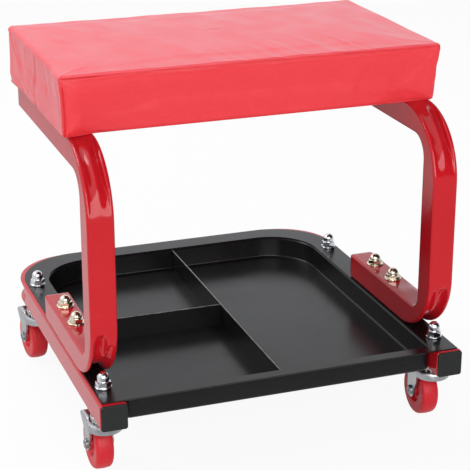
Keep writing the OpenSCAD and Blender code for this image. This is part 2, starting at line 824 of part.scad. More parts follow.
// Riveted axle across the arms
module axle(p) {
    end = fork_out + axle_head_h;
    color("silver") caster_frame(p) translate([caster_trail, 0, -axle_drop])
        rotate([90, 0, 0]) rotate_extrude() polygon([
            [0, -end], [axle_head_r - chamfer, -end], [axle_head_r, chamfer - end],
            [axle_head_r, -fork_out], [axle_r, -fork_out], [axle_r, fork_out],
            [axle_head_r, fork_out], [axle_head_r, end - chamfer],
            [axle_head_r - chamfer, end], [0, end]
        ]);
}

// Half of the wheel's section: [radius, along the axle]
tread_steps = 6;
function wheel_half() =
    let (
        r = wheel_d / 2,
        half = wheel_w / 2,
        c = [r - tread_crown - tread_round_r, half - tread_round_r],
        hub_end = fork_in - hub_gap
    )
    concat(
        [[axle_r + run_gap, hub_end], [hub_r - chamfer, hub_end], [hub_r, hub_end - chamfer],
            [hub_r, half - recess_depth], [recess_r, half - recess_depth],
            [recess_r + chamfer, half]],
        [for (k = [0:tread_steps])
            let (a = 90 * k / tread_steps) c + tread_round_r * [sin(a), cos(a)]],
        [[r - tread_crown / 4, (half - tread_round_r) / 2], [r, 0]]
    );
module wheel(p) {
    half = wheel_half();
    n = len(half);
    color("crimson") caster_frame(p) translate([caster_trail, 0, -axle_drop])
        rotate([90, 0, 0]) rotate_extrude($fn = 96)
            polygon(concat(half, [for (k = [n - 2:-1:0]) [half[k][0], -half[k][1]]]));
}

base_frame();
end_cap(-1);  // end_cap_left
end_cap(1);  // end_cap_right
tool_tray();
tray_divider_long();
tray_divider_cross();
leg(-1);  // leg_left
leg(1);  // leg_right
leg_end_plugs();
leg_bolts();
leg_bolt_washers();
leg_nut_washers();
leg_cap_nuts();
seat_board();
seat_foam();
seat_cover();
seat_bolts();
seat_bolt_washers();
seat_tee_nuts();
caster_lock_washers();
caster_cap_nuts();
stem(place_fl);  // caster_fl_stem
race(place_fl);  // caster_fl_race
balls(place_fl);  // caster_fl_balls
fork(place_fl);  // caster_fl_fork
axle(place_fl);  // caster_fl_axle
wheel(place_fl);  // caster_fl_wheel
stem(place_fr);  // caster_fr_stem
race(place_fr);  // caster_fr_race
balls(place_fr);  // caster_fr_balls
fork(place_fr);  // caster_fr_fork
axle(place_fr);  // caster_fr_axle
wheel(place_fr);  // caster_fr_wheel
stem(place_rl);  // caster_rl_stem
race(place_rl);  // caster_rl_race
balls(place_rl);  // caster_rl_balls
fork(place_rl);  // caster_rl_fork
axle(place_rl);  // caster_rl_axle
wheel(place_rl);  // caster_rl_wheel
stem(place_rr);  // caster_rr_stem
race(place_rr);  // caster_rr_race
balls(place_rr);  // caster_rr_balls
fork(place_rr);  // caster_rr_fork
axle(place_rr);  // caster_rr_axle
wheel(place_rr);  // caster_rr_wheel
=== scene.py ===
"""Looks of the creeper seat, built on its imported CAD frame.

Shapes are worked out in millimetres and become metres in mesh(). X runs across, Y from the
open front to the rear rail and Z up, with the ground at z = 0.
"""
import math
from functools import partial

import bmesh
import bpy
import numpy as np
from mathutils import Euler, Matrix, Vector


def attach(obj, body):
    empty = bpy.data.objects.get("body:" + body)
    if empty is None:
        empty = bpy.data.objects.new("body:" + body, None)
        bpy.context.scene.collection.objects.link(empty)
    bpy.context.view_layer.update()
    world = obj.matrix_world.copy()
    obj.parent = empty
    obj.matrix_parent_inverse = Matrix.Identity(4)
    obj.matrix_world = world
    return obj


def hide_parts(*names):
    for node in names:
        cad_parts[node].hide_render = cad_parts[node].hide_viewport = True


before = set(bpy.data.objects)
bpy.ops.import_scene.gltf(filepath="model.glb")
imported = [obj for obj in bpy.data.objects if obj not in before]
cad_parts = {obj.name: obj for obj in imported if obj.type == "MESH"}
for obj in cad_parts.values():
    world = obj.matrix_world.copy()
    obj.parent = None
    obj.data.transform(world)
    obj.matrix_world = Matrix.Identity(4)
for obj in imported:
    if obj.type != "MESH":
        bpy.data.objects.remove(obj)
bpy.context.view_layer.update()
scene = bpy.context.scene
cos, sin, pi = np.cos, np.sin, math.pi

# Sizes, as in the CAD
CAP_PROUD, CAP_HALF = 2.5, 12.2
BASE_W, BASE_D, TUBE = 355.0, 375.0, 25.0
FRONT_Y, REAR_Y = -(BASE_D - CAP_PROUD) / 2, (BASE_D + CAP_PROUD) / 2
CASTER_H, WHEEL_R, TRAIL = 64.5, 25.0, 23.0
RAIL_Z = CASTER_H + TUBE
SHEET, TRAY_DEPTH, RIM_INSET = 1.0, 25.0, 2.5
RIM_Z = RAIL_Z + SHEET
FLOOR_Z = RIM_Z - TRAY_DEPTH + SHEET
TRAY_FRONT = FRONT_Y + 3.0
PAN_X, PAN_FRONT, PAN_REAR = BASE_W / 2 - TUBE - 0.3, TRAY_FRONT + 10.75, REAR_Y - TUBE - 0.3
ARM_Z = RIM_Z + 222.0
RAIL_X = (BASE_W - TUBE) / 2
LEG_Y = FRONT_Y + 24.2
FOOT_END, ARM_END = LEG_Y + 180.4, LEG_Y + 261.0
SEAT_W, SEAT_D, SEAT_H, SEAT_CROWN = 364.6, 214.6, 56.0, 3.0
SEAT_Y = ARM_END + 7.8 - SEAT_D / 2
FRONT_LEAN, END_LEAN = 8.0, 3.0
# Inside the cushion: cover with its gap, width turned in, board's hollow, rings out of sight
COVER, TURN, HOLLOW, INNER_RINGS = 1.05, 31.5, 13.3, 12
FOOT_BOLTS = [FOOT_END - 33.5 - 43 * k for k in (0, 1)]
WASHER_T, SPRING_T, THIN_T = 1.6, 2.2, 1.0
# Where each stem is, and the way its wheel trails, in degrees
CASTERS = {
    "fl": (-RAIL_X, FRONT_Y + 33.9, 91), "fr": (RAIL_X, FRONT_Y + 33.9, 88),
    "rl": (-RAIL_X, REAR_Y - 81.3, 95), "rr": (RAIL_X, REAR_Y - 81.3, 85),
}


# Colours and materials
def srgb(code):
    """Linear colour of an sRGB code: c / 12.92 below 0.04045, else ((c + 0.055) / 1.055)^2.4."""
    c = np.array([int(code[i:i + 2], 16) / 255 for i in (1, 3, 5)])
    lin = np.where(c <= 0.04045, c / 12.92, ((c + 0.055) / 1.055) ** 2.4)
    return (*lin.tolist(), 1.0)


def add(tree, kind, **values):
    """Adds a node. Each value goes to the setting or socket of that name. A value "#RRGGBB" is a
    colour, and a node or a socket as a value is linked, a node by its first output in use. What
    isn't named keeps Blender's default, such as a noise's detail of 2."""
    node = tree.nodes.new("ShaderNode" + kind)
    for key, value in values.items():
        if hasattr(node, key):
            setattr(node, key, value)
            continue
        socket = next(s for s in node.inputs
                      if s.enabled and key in (s.identifier, s.name.replace(" ", "_")))
        if isinstance(value, str):
            value = srgb(value)
        if isinstance(value, bpy.types.Node):
            value = next(s for s in value.outputs if s.enabled)
        if isinstance(value, bpy.types.NodeSocket):
            tree.links.new(value, socket)
        else:
            socket.default_value = value
    return node


def material(recipe, name=None, *looks):
    """Material named after its recipe. A recipe gets add() for an empty tree and the Object
    coordinates in metres, and returns the node of the finished shader."""
    mat = bpy.data.materials.new(name or recipe.__name__)
    mat.use_nodes = True
    mat.node_tree.nodes.clear()
    put = partial(add, mat.node_tree)
    at = put("TexCoord").outputs["Object"]
    put("OutputMaterial", Surface=recipe(put, at, *looks))
    return mat


def powder_coat_red(put, at):
    """Gloss red powder coat, baked on: faint orange peel 2 mm across, a softer waviness of
    15 mm, fine scuffs along the tube, broad deeper patches and a cool bloom at low angles."""
    patch = put("TexNoise", Vector=at, Scale=17)
    tone = put("Mix", data_type="RGBA", Factor=patch, A="#C3131E", B="#CC1A25")
    drawn = put("Mapping", Vector=at, Scale=(1, 0.25, 1))
    scratch = put("TexNoise", Vector=drawn, Scale=110, Detail=6, Roughness=0.7)
    scuff = put("MapRange", Value=scratch, From_Min=0.6, From_Max=0.74)
    faint = put("Math", operation="MULTIPLY", Value=scuff, Value_001=0.22)
    colour = put("Mix", data_type="RGBA", Factor=faint, A=tone, B="#D4444A")
    cloud = put("TexNoise", Vector=at, Scale=40, Detail=3)
    dull = put("Math", operation="MULTIPLY_ADD", Value=scuff, Value_001=0.35, Value_002=cloud)
    rough = put("MapRange", Value=dull, From_Min=0.3, From_Max=0.9, To_Min=0.09, To_Max=0.2)
    waves = put("TexNoise", Vector=at, Scale=70)
    peel = put("TexNoise", Vector=at, Scale=600)
    wavy = put("Bump", Height=waves, Distance=0.00008)
    rind = put("Bump", Height=peel, Distance=0.00002, Normal=wavy)
    return put("BsdfPrincipled", Base_Color=colour, Roughness=rough, Normal=rind,
               Sheen_Weight=0.08, Sheen_Roughness=0.3, Sheen_Tint=(0.4, 0.7, 1.0, 1))


def powder_coat_black(put, at):
    """Satin black coat on pressed sheet: fine stipple, dusty patches, faint rubbed streaks."""
    dust = put("TexNoise", Vector=at, Scale=22, Detail=5, Roughness=0.6)
    drawn = put("Mapping", Vector=at, Scale=(0.2, 1, 1))
    streak = put("TexNoise", Vector=drawn, Scale=250, Detail=5, Roughness=0.7)
    rub = put("MapRange", Value=streak, From_Min=0.62, From_Max=0.8, To_Max=0.2)
    tone = put("Mix", data_type="RGBA", Factor=dust, A="#121213", B="#19191A")
    colour = put("Mix", data_type="RGBA", Factor=rub, A=tone, B="#48484A")
    dull = put("Math", operation="MULTIPLY_ADD", Value=rub, Value_001=1.5, Value_002=dust)
    rough = put("MapRange", Value=dull, From_Min=0.2, From_Max=1.0, To_Min=0.18, To_Max=0.34)
    stipple = put("TexNoise", Vector=at, Scale=1100)
    grain = put("Bump", Height=stipple, Distance=0.000008)
    return put("BsdfPrincipled", Base_Color=colour, Roughness=rough, Normal=grain, IOR=1.36)


def cut_steel_edge(put, at):
    """Sheared edge of the black sheet, its coat rubbed through to grey steel in places."""
    wear = put("TexNoise", Vector=at, Scale=140, Detail=5, Roughness=0.7)
    bare = put("MapRange", Value=wear, From_Min=0.35, From_Max=0.65)
    colour = put("Mix", data_type="RGBA", Factor=bare, A="#55534F", B="#9A9894")
    rough = put("MapRange", Value=wear, From_Min=0.2, From_Max=0.8, To_Min=0.3, To_Max=0.5)
    return put("BsdfPrincipled", Base_Color=colour, Roughness=rough, Metallic=0.6)


def black_polyethylene(put, at):
    """Injection-moulded cap: spark-eroded matt grain 0.7 mm across and a little dust."""
    dust = put("TexNoise", Vector=at, Scale=83, Detail=4)
    colour = put("Mix", data_type="RGBA", Factor=dust, A="#0F1112", B="#17191B")
    sheen = put("TexNoise", Vector=at, Scale=160, Detail=3)
    rough = put("MapRange", Value=sheen, From_Min=0.2, From_Max=0.8, To_Min=0.42, To_Max=0.6)
    spark = put("TexNoise", Vector=at, Scale=1400, Detail=3)
    grain = put("Bump", Height=spark, Distance=0.00003)
    return put("BsdfPrincipled", Base_Color=colour, Roughness=rough, Normal=grain)


def plated_steel(put, at, pale, dark, low, high, warm="#C9C3AE"):
    """Electroplated pressed steel: cloudy grey over 8 mm, fine rolling marks, and a faint
    yellow cast where the passivation is thicker."""
    cloud = put("TexNoise", Vector=at, Scale=125, Detail=4, Roughness=0.6)
    tone = put("Mix", data_type="RGBA", Factor=cloud, A=dark, B=pale)
    cast = put("TexNoise", Vector=at, Scale=66)
    share = put("MapRange", Value=cast, From_Min=0.35, From_Max=0.8, To_Max=0.3)
    colour = put("Mix", data_type="RGBA", Factor=share, A=tone, B=warm)
    rough = put("MapRange", Value=cloud, From_Min=0.25, From_Max=0.75, To_Min=low, To_Max=high)
    marks = put("TexNoise", Vector=at, Scale=1200, Detail=3)
    grain = put("Bump", Height=marks, Distance=0.000012)
    return put("BsdfPrincipled", Base_Color=colour, Roughness=rough, Normal=grain, Metallic=1.0)


def wheel_nylon(put, at):
    """Red cast nylon: slightly cloudy, its tread dulled by the floor and finely scratched."""
    cloud = put("TexNoise", Vector=at, Scale=62, Detail=4)
    marks = put("TexNoise", Vector=at, Scale=400, Detail=6, Roughness=0.75)
    scratch = put("MapRange", Value=marks, From_Min=0.55, From_Max=0.75)
    tone = put("Mix", data_type="RGBA", Factor=cloud, A="#CE1C29", B="#DC2632")
    faint = put("Math", operation="MULTIPLY", Value=scratch, Value_001=0.25)
    colour = put("Mix", data_type="RGBA", Factor=faint, A=tone, B="#C9545C")
    dull = put("Math", operation="MULTIPLY_ADD", Value=scratch, Value_001=0.4, Value_002=cloud)
    rough = put("MapRange", Value=dull, From_Min=0.3, From_Max=1.1, To_Min=0.33, To_Max=0.55)
    worn = put("TexNoise", Vector=at, Scale=660, Detail=4)
    grain = put("Bump", Height=worn, Distance=0.00003)
    return put("BsdfPrincipled", Base_Color=colour, Roughness=rough, Normal=grain, IOR=1.4,
               Subsurface_Weight=0.08, Subsurface_Scale=0.004, Subsurface_Radius=(1.0, 0.2, 0.1))


def grained_vinyl(put, at):
    """Calendered PVC leathercloth: embossed cells 1.3 mm across with finer creases between and
    a soft sheen. A deeper red is a painted dark reflection under the walls' top edge and painted
    shade along their bottom edge and in the corner slits; a paler red on the top is a painted
    sheen."""
    cells = put("TexVoronoi", Vector=at, Scale=770)
    fine = put("TexNoise", Vector=at, Scale=1650, Detail=4, Roughness=0.6)
    broad = put("TexNoise", Vector=at, Scale=14)
    tone = put("Mix", data_type="RGBA", Factor=broad, A="#F0363F", B="#F74048")
    pit = put("MapRange", Value=cells, To_Max=0.35)
    pitted = put("Mix", data_type="RGBA", Factor=pit, A=tone, B="#D62932")
    # Painted dark reflection and painted shade: a deeper red on the edges and slits the cushion
    # marks
    painted_edge_shade = put("Attribute", attribute_name="painted_edge_shade").outputs["Fac"]
    deep = put("Math", operation="MULTIPLY", Value=painted_edge_shade, Value_001=0.9)
    drawn = put("Mix", data_type="RGBA", Factor=deep, A=pitted, B="#DA1B25")
    # Painted sheen: a paler red on the cushion's top
    faded = put("Attribute", attribute_name="faded").outputs["Fac"]
    colour = put("Mix", data_type="RGBA", Factor=faded, A=drawn, B="#F45560")
    sheen = put("TexNoise", Vector=at, Scale=33, Detail=3)
    rough = put("MapRange", Value=sheen, From_Min=0.3, From_Max=0.7, To_Min=0.33, To_Max=0.45)
    grain = put("Math", operation="MULTIPLY_ADD", Value=fine, Value_001=0.35, Value_002=cells)
    slack = put("TexNoise", Vector=at, Scale=110, Detail=3)
    soft = put("Bump", Height=slack, Distance=0.00015)
    leather = put("Bump", Height=grain, Distance=0.0001, Normal=soft, invert=True)
    return put("BsdfPrincipled", Base_Color=colour, Roughness=rough, Normal=leather,
               Sheen_Weight=0.34, Sheen_Roughness=0.4, Sheen_Tint=(0.75, 0.9, 1.0, 1),
               Specular_IOR_Level=0.42)


def near_black_plywood(put, at):
    """Rotary-cut ply, near black: its long figure shows brown in places."""
    along = put("Mapping", Vector=at, Scale=(0.06, 1, 1))
    grain = put("TexNoise", Vector=along, Scale=166, Detail=5, Roughness=0.65)
    colour = put("Mix", data_type="RGBA", Factor=grain, A="#141211", B="#2E2823")
    fibre = put("Bump", Height=grain, Distance=0.0001)
    return put("BsdfPrincipled", Base_Color=colour, Roughness=0.7, Normal=fibre)


def cut_foam(put, at):
    """Open-cell polyurethane foam inside the cover: pale, pitted with 1.5 mm cells."""
    cloud = put("TexNoise", Vector=at, Scale=330, Detail=3)
    colour = put("Mix", data_type="RGBA", Factor=cloud, A="#D8CFA6", B="#E6DFC0")
    pores = put("TexVoronoi", Vector=at, Scale=660)
    pitted = put("Bump", Height=pores, Distance=0.0004)
    return put("BsdfPrincipled", Base_Color=colour, Roughness=0.95, Normal=pitted)


RED, BLACK, EDGE, CAP = (material(k) for k in (powder_coat_red, powder_coat_black,
                                               cut_steel_edge, black_polyethylene))
ZINC, STEEL, NICKEL, CHROME = (material(plated_steel, *k) for k in (
    ("zinc_plated_steel", "#CDD0D4", "#9A9EA5", 0.17, 0.38),
    ("axle_steel", "#9DA1A6", "#6F7378", 0.25, 0.5),
    ("nickel_plated_nut", "#EFE9D8", "#D5CEBB", 0.05, 0.14, "#E0D2AC"),
    ("chromed_nut", "#F0F2F5", "#D4D8DD", 0.05, 0.14, "#E4E6E6")))
WHEEL, VINYL, PLY, FOAM = (material(k) for k in (wheel_nylon, grained_vinyl, near_black_plywood,
                                                 cut_foam))


# Mesh helpers
def linked(name, data):
    """New object in the scene."""
    piece = bpy.data.objects.new(name, data)
    scene.collection.objects.link(piece)
    return piece


def mesh(name, points, faces, finish, angle=40, extra=()):
    """Object from points in millimetres, smooth except where faces meet over the angle."""
    data = bpy.data.meshes.new(name)
    data.from_pydata((np.asarray(points, float) / 1000).tolist(), [], faces)
    data.update()
    for m in (finish, *extra):
        data.materials.append(m)
    piece = linked(name, data)
    b = bmesh.new()
    b.from_mesh(data)
    bmesh.ops.recalc_face_normals(b, faces=b.faces)
    b.to_mesh(data)
    b.free()
    data.shade_smooth()
    data.set_sharp_from_angle(angle=math.radians(angle))
    return piece


def lattice(rows, cols):
    """Quads between neighbouring rings of points, stored ring by ring."""
    i, j = np.meshgrid(np.arange(rows - 1) * cols, np.arange(cols), indexing="ij")
    m = (j + 1) % cols
    return np.stack([i + j, i + m, i + cols + m, i + cols + j], -1).reshape(-1, 4).tolist()


def rings(levels):
    """Points and faces through closed rings of equal length, closed by a flat face at each end."""
    levels = np.asarray(levels, float)
    rows, cols = levels.shape[:2]
    ends = [list(range(cols))[::-1], list(range((rows - 1) * cols, rows * cols))]
    return levels.reshape(-1, 3), lattice(rows, cols) + ends


def turned(profile, steps, centre, basis=np.eye(3)):
    """Profile [(radius, height)] carried round Z: (r cos a, r sin a, h), then set on a basis."""
    r, h = np.asarray(profile, float).T[..., None]
    a = np.arange(steps) * 2 * pi / steps
    p = np.stack([r * cos(a), r * sin(a), h + 0 * a], -1).reshape(-1, 3)
    return p @ basis + centre, lattice(len(r), steps)


def joined(parts):
    """Several (points, faces) parts as one."""
    points, faces, n = [], [], 0
    for p, f in parts:
        points.append(p)
        faces += [[n + k for k in face] for face in f]
        n += len(p)
    return np.concatenate(points), faces


def arc(cx, cy, r, a0, a1, steps):
    """Points of an arc about (cx, cy), angles in degrees."""
    a = np.radians(np.linspace(a0, a1, steps + 1))
    return np.stack([cx + r * cos(a), cy + r * sin(a)], -1)


def flat_ring(outline, z):
    """An outline at a height."""
    return np.column_stack([outline, np.full(len(outline), z)])


def places(data):
    """The vertices of a mesh as an array of (x, y, z), in metres."""
    p = np.empty(3 * len(data.vertices))
    data.vertices.foreach_get("co", p)
    return p.reshape(-1, 3)


def evaluated(piece):
    """The mesh of a piece as its modifiers leave it."""
    return piece.evaluated_get(bpy.context.evaluated_depsgraph_get()).data


def place(piece, body, slot, *nodes):
    """Sets a piece on its body in place of CAD nodes, which it hides. The slot is not used."""
    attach(piece, body)
    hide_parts(*nodes)


# Bent square tubes
def section(half, r, corner=6, flat=33):
    """Square tube section of edge radius r: wall (1 outer, 0 inner), depth below it, sideways.
    A point 0.6 mm past each edge keeps the side walls flat."""
    f = half - r
    flats = np.linspace(-f, f, flat)
    a = np.radians(np.linspace(0, 90, corner + 1))[1:]
    dip, out = np.append(r - r * cos(a), r + 0.6), np.append(f + r * sin(a), half)
    one, none, level = np.ones(corner + 1), np.zeros(corner + 1), np.zeros(flat)
    wall = np.concatenate([level + 1, one, none, level, none, one])
    depth = np.concatenate([level, dip, dip[::-1], level, dip, dip[::-1]])
    side = np.concatenate([flats, out, out[::-1], flats[::-1], -out, -out[::-1]])
    return wall, depth, side


def smooth(x):
    """0 below 0, 1 above 1, and x^2 (3 - 2x) between."""
    x = np.clip(x, 0, 1)
    return x * x * (3 - 2 * x)


def bend(corner, d1, d2, r_out, r_in, fade=32, steps=44):
    """Stations through a bend at the corner where directions d1 (back) and d2 (ahead) meet:
    inner point, outer point, outward normal, and a, the distance along the outer wall from the
    bend's middle. The outer and inner walls turn on radii r_out and r_in about two centres."""
    corner, d1, d2 = (np.array(k, float) for k in (corner, d1, d2))
    q = np.linspace(0, 1, 12)[:, None]
    e = fade * (1 - q)
    reach = r_out + e + (TUBE + r_in - r_out) * q ** 2
    half = r_out * pi / 4
    t = (pi / 2 * np.arange(1, steps) / steps)[:, None]
    u = -d2 * cos(t) - d1 * sin(t)
    inner = np.concatenate([corner + d1 * reach + d2 * TUBE,
                            corner + (TUBE + r_in) * (d1 + d2) + r_in * u,
                            (corner + d2 * reach + d1 * TUBE)[::-1]])
    outer = np.concatenate([corner + d1 * (r_out + e), corner + r_out * (d1 + d2) + r_out * u,
                            (corner + d2 * (r_out + e))[::-1]])
    normal = np.concatenate([np.repeat([-d2], 12, 0), u, np.repeat([-d1], 12, 0)])
    a = np.concatenate([-(half + e), r_out * (t - pi / 4), (half + e)[::-1]])[:, 0]
    return inner, outer, normal, a


def pocket(a, c, long, wide, deep):
    """Hollow with arched ends: deep * (1 - |c / wide|^3 - |a / long|^6)^0.7, and 0 outside it."""
    return deep * np.clip(1 - np.abs(c / wide) ** 3 - np.abs(a / long) ** 6, 0, None) ** 0.7


def creases(a, c, deep):
    """Crushed wall of a wide bend, a > 0 towards the upright. Two creases k off the middle leave
    a sloping spine between them, about deep * |c| / k down, and end within 2 mm beyond."""
    k = 6.3 + 2.6 * smooth((a - 4) / 32) + 2.2 * smooth((-a - 8) / 30)
    q = np.abs(c) / k
    run = smooth((a + 52) / 28) * smooth((44 - a) / 38)
    crest = 0.2 * smooth((16 - a) / 26)
    spine = crest + (1 - crest) * (np.sqrt(q ** 2 + 0.03) - 0.173) / 0.842
    return deep * run * np.where(q < 1, spine, np.exp(-((q - 1) * k / 1.7) ** 2))


def tube_skin(name, runs, ends, lift, node, edge_r=2.6):
    """Skin of a bent square tube. A point of ring s lies at outer - n * (depth + dent) on the
    outer half and at inner + n * (depth + pinch) on the inner half; lift puts it in space. The
    rings at the ends are 0.5 mm smaller all round, as sawn and deburred."""
    wall, depth, side = section(TUBE / 2, edge_r)
    c = side[None, :]
    edge = np.clip(1 - (np.abs(c) / (TUBE / 2 - edge_r)) ** 6, 0, 1)
    level = np.zeros((3, len(side)))
    first, last = ((*k, level, level) for k in ends)
    bends = [(i, o, n, crush(a[:, None], c) * edge, squeeze(a[:, None], c) * edge)
             for i, o, n, a, crush, squeeze in runs]
    inner, outer, normal, dent, pinch = (np.concatenate(k) for k in zip(first, *bends, last))
    w = wall[None, :, None]
    from_out = outer[:, None] - normal[:, None] * (depth[None, :] + dent)[..., None]
    from_in = inner[:, None] + normal[:, None] * (depth[None, :] + pinch)[..., None]
    flat = w * from_out + (1 - w) * from_in
    sideways = np.repeat(side[None, :], len(inner), 0)
    smaller = 1 - 0.5 / (TUBE / 2)
    sideways[[0, -1]] *= smaller
    middle = (inner + outer)[:, None] / 2
    flat[[0, -1]] = middle[[0, -1]] + (flat[[0, -1]] - middle[[0, -1]]) * smaller
    points = lift(sideways, flat[..., 0], flat[..., 1])
    place(mesh(name, *rings(points), RED, 50), "frame", "red_tube", node)


def stub(corner, d, n, length):
    """The last stations of a straight end: 3 mm and 0.5 mm before it, and at it."""
    corner, d, n = (np.array(k, float) for k in (corner, d, n))
    o = corner + d * (length - np.array([[3.0], [0.5], [0.0]]))
    return o - n * TUBE, o, np.array([n, n, n])


def base_tube():
    """U of the base: two corners bent in the floor's plane, their outer walls hollowed."""
    left, right = (-BASE_W / 2, REAR_Y), (BASE_W / 2, REAR_Y)
    crush, level = lambda a, c: pocket(a, c, 62, 9.4, 4.2), lambda a, c: 0 * a
    runs = [(*bend(left, (0, -1), (1, 0), 60, 28), crush, level),
            (*bend(right, (-1, 0), (0, -1), 60, 28), crush, level)]
    first = [k[::-1] for k in stub(left, (0, -1), (-1, 0), BASE_D)]
    last = stub(right, (0, -1), (1, 0), BASE_D)
    tube_skin("base_tube", runs, (first, last),
              lambda s, x, y: np.stack([x, y, RAIL_Z - TUBE / 2 + s], -1), "base_frame")


def leg_tube(name, side, node):
    """C of a leg: foot, front upright and arm. The tight lower bend is hollowed: a main hollow, a
    narrow one beside it and a wide one below that joins them. Two creases run round the upper.
    Inside, the wall swells by 1.3 mm beyond both ends of a bend."""
    low, top = (LEG_Y, RIM_Z), (LEG_Y, ARM_Z)
    swell = lambda a: -1.3 * np.exp(-((np.abs(a) - 62) / 8) ** 2)
    if side < 0:
        hollows = lambda a, c: np.maximum(pocket(a + 4, c + 3.2, 46, 7.2, 7.0),
                                          pocket(a + 10, c - 2.0 - 0.144 * a, 40, 2.5, 3.6))
    else:
        hollows = lambda a, c: np.maximum(pocket(a + 5, c - 3.2, 45, 6.2, 7.0),
                                          pocket(a + 3, c + 9.6 - 0.1 * a, 42, 2.4, 3.6))
    runs = [(*bend(low, (1, 0), (0, 1), 60, 12.5),
             lambda a, c: np.maximum(hollows(a, c), pocket(a + 22, c, 37, 9.3, 7.0)),
             lambda a, c: swell(a) + pocket(a, c, 40, 9, 2)),
            (*bend(top, (0, -1), (1, 0), 65, 21),
             lambda a, c: creases(-a, c, 5.4), lambda a, c: swell(a) + pocket(a, c, 44, 9, 2.2))]
    first = [k[::-1] for k in stub(low, (1, 0), (0, -1), FOOT_END - LEG_Y)]
    last = stub(top, (1, 0), (0, 1), ARM_END - LEG_Y)
    tube_skin(name, runs, (first, last),
              lambda s, y, z: np.stack([side * RAIL_X + s, y, z], -1), node)


base_tube()
leg_tube("leg_tube_left", -1, "leg_left")
leg_tube("leg_tube_right", 1, "leg_right")


# Tray
def plan(x, front, rear, r_rear, r_front, steps=24):
    """Outline with round corners: rear right, rear left, front left, front right."""
    return np.concatenate([arc(x - r_rear, rear - r_rear, r_rear, 0, 90, steps),
                           arc(r_rear - x, rear - r_rear, r_rear, 90, 180, steps),
                           arc(r_front - x, front + r_front, r_front, 180, 270, steps),
                           arc(x - r_front, front + r_front, r_front, 270, 360, steps)])


def tray():
    """Pressed tray as one skin, from the middle of its underside up the pan's outside, round
    the rim and down its inside to the floor. The bends of the sheet are quarter rounds; the
    rim's inner edge is sharp, with a quarter hollow under it."""
    pan = lambda i: plan(PAN_X - i, PAN_FRONT + i, PAN_REAR - i, 52.5 - i, 7 - i)
    rim = lambda i: plan(BASE_W / 2 - RIM_INSET - i, TRAY_FRONT + i, REAR_Y - RIM_INSET - i,
                         68 - i, 2 + 0.3 * i)
    under, below = RIM_Z - TRAY_DEPTH, RIM_Z - SHEET
    levels = [flat_ring(outline(inset), z) for outline, *profile in (
        (pan, [(5.2, under), (4.0, under)], arc(3.2, under + 3.2, 3.2, 270, 180, 6),
         [(0, below - 0.3), (-0.3, below), (-1.5, below)]),
        (rim, [(1.6, below), (0.4, below)], arc(0.4, RIM_Z - 0.4, 0.4, 180, 90, 4),
         [(1.6, RIM_Z)]),
        (pan, [(-3.0, RIM_Z), (-0.5, RIM_Z)], arc(1, RIM_Z - 1.5, 1.5, 90, 180, 6),
         [(1, RIM_Z - 3), (1, FLOOR_Z + 2.2)], arc(3.2, FLOOR_Z + 2.2, 2.2, 195, 270, 5),
         [(4.4, FLOOR_Z), (5.6, FLOOR_Z)])) for inset, z in np.concatenate(profile)]
    place(mesh("tray_pan", *rings(levels), BLACK), "frame", "black_sheet", "tool_tray")


def divider(name, start, end, node):
    """Sheet divider 1.2 mm thick, whose top is bowed by 0.25 mm * sin(2 pi u) and rubbed."""
    start, end, z0, z1 = np.array(start, float), np.array(end, float), FLOOR_Z, DIVIDER_Z
    along = (end - start) / np.linalg.norm(end - start)
    across = np.array([-along[1], along[0]])
    w, z = np.array([(-0.6, z0), (-0.6, z1 - 0.3), (-0.35, z1), (0.35, z1), (0.6, z1 - 0.3),
                     (0.6, z0)]).T[:, None, :, None]
    u = np.linspace(0, 1, 40)[:, None, None]
    bow = 0.25 * sin(2 * pi * u) * ((z - z0) / (z1 - z0))
    ground = start + (end - start) * u + across * (w + bow)
    piece = mesh(name, *rings(np.concatenate([ground, z + 0 * u], -1)), BLACK, 30, (EDGE,))
    up = np.empty(3 * len(piece.data.polygons))
    piece.data.polygons.foreach_get("normal", up)
    piece.data.polygons.foreach_set("material_index", (up[2::3] > 0.4).astype(np.int32))
    place(piece, "frame", "black_sheet", node)


tray()
CROSS_Y, DIVIDER_Z = TRAY_FRONT + BASE_D * 0.484, RIM_Z - 1.8
divider("divider_long", (0, PAN_FRONT + 1.1), (0, PAN_REAR - 1.1), "tray_divider_long")
divider("divider_cross", (-PAN_X + 1.1, CROSS_Y), (-0.7, CROSS_Y), "tray_divider_cross")


# End caps and plugs
def cap(x, y, z, facing, proud, edge):
    """Square cap whose rim is a quarter round of the edge radius and whose face is domed a
    little: rounded squares, edge (1 - cos a) smaller at height edge sin a."""
    def square(inset, r, out):
        """Outline set back and out."""
        h = CAP_HALF - inset
        q = plan(h, -h, h, r, r, 6)
        return np.column_stack([x + q[:, 0], np.full(len(q), y + facing * out), z + q[:, 1]])
    levels = [square(0.3, 2.4, -1.0), square(0, 2.4, 0.0), square(0, 2.4, proud - edge)]
    levels += [square(back, max(2.4 - 0.6 * back, 0.8), out)
               for back, out in arc(edge, proud - edge, edge, 165, 90, 5)]
    levels += [square(edge + 0.8, 1.4, proud), square(edge + 4, 1.0, proud - 0.08)]
    return rings(levels)


for side, word in ((-1, "left"), (1, "right")):
    form = cap(side * RAIL_X, FRONT_Y, RAIL_Z - TUBE / 2, -1, CAP_PROUD, 0.9)
    place(mesh("cap_" + word, *form, CAP, 35), "frame", "black_cap", "end_cap_" + word)
plugs = [cap(s * RAIL_X, y, z, 1, 1.2, 0.6) for s in (-1, 1)
         for y, z in ((FOOT_END, RIM_Z + TUBE / 2), (ARM_END, ARM_Z - TUBE / 2))]
place(mesh("leg_plugs", *joined(plugs), CAP, 35), "frame", "black_cap", "leg_end_plugs")


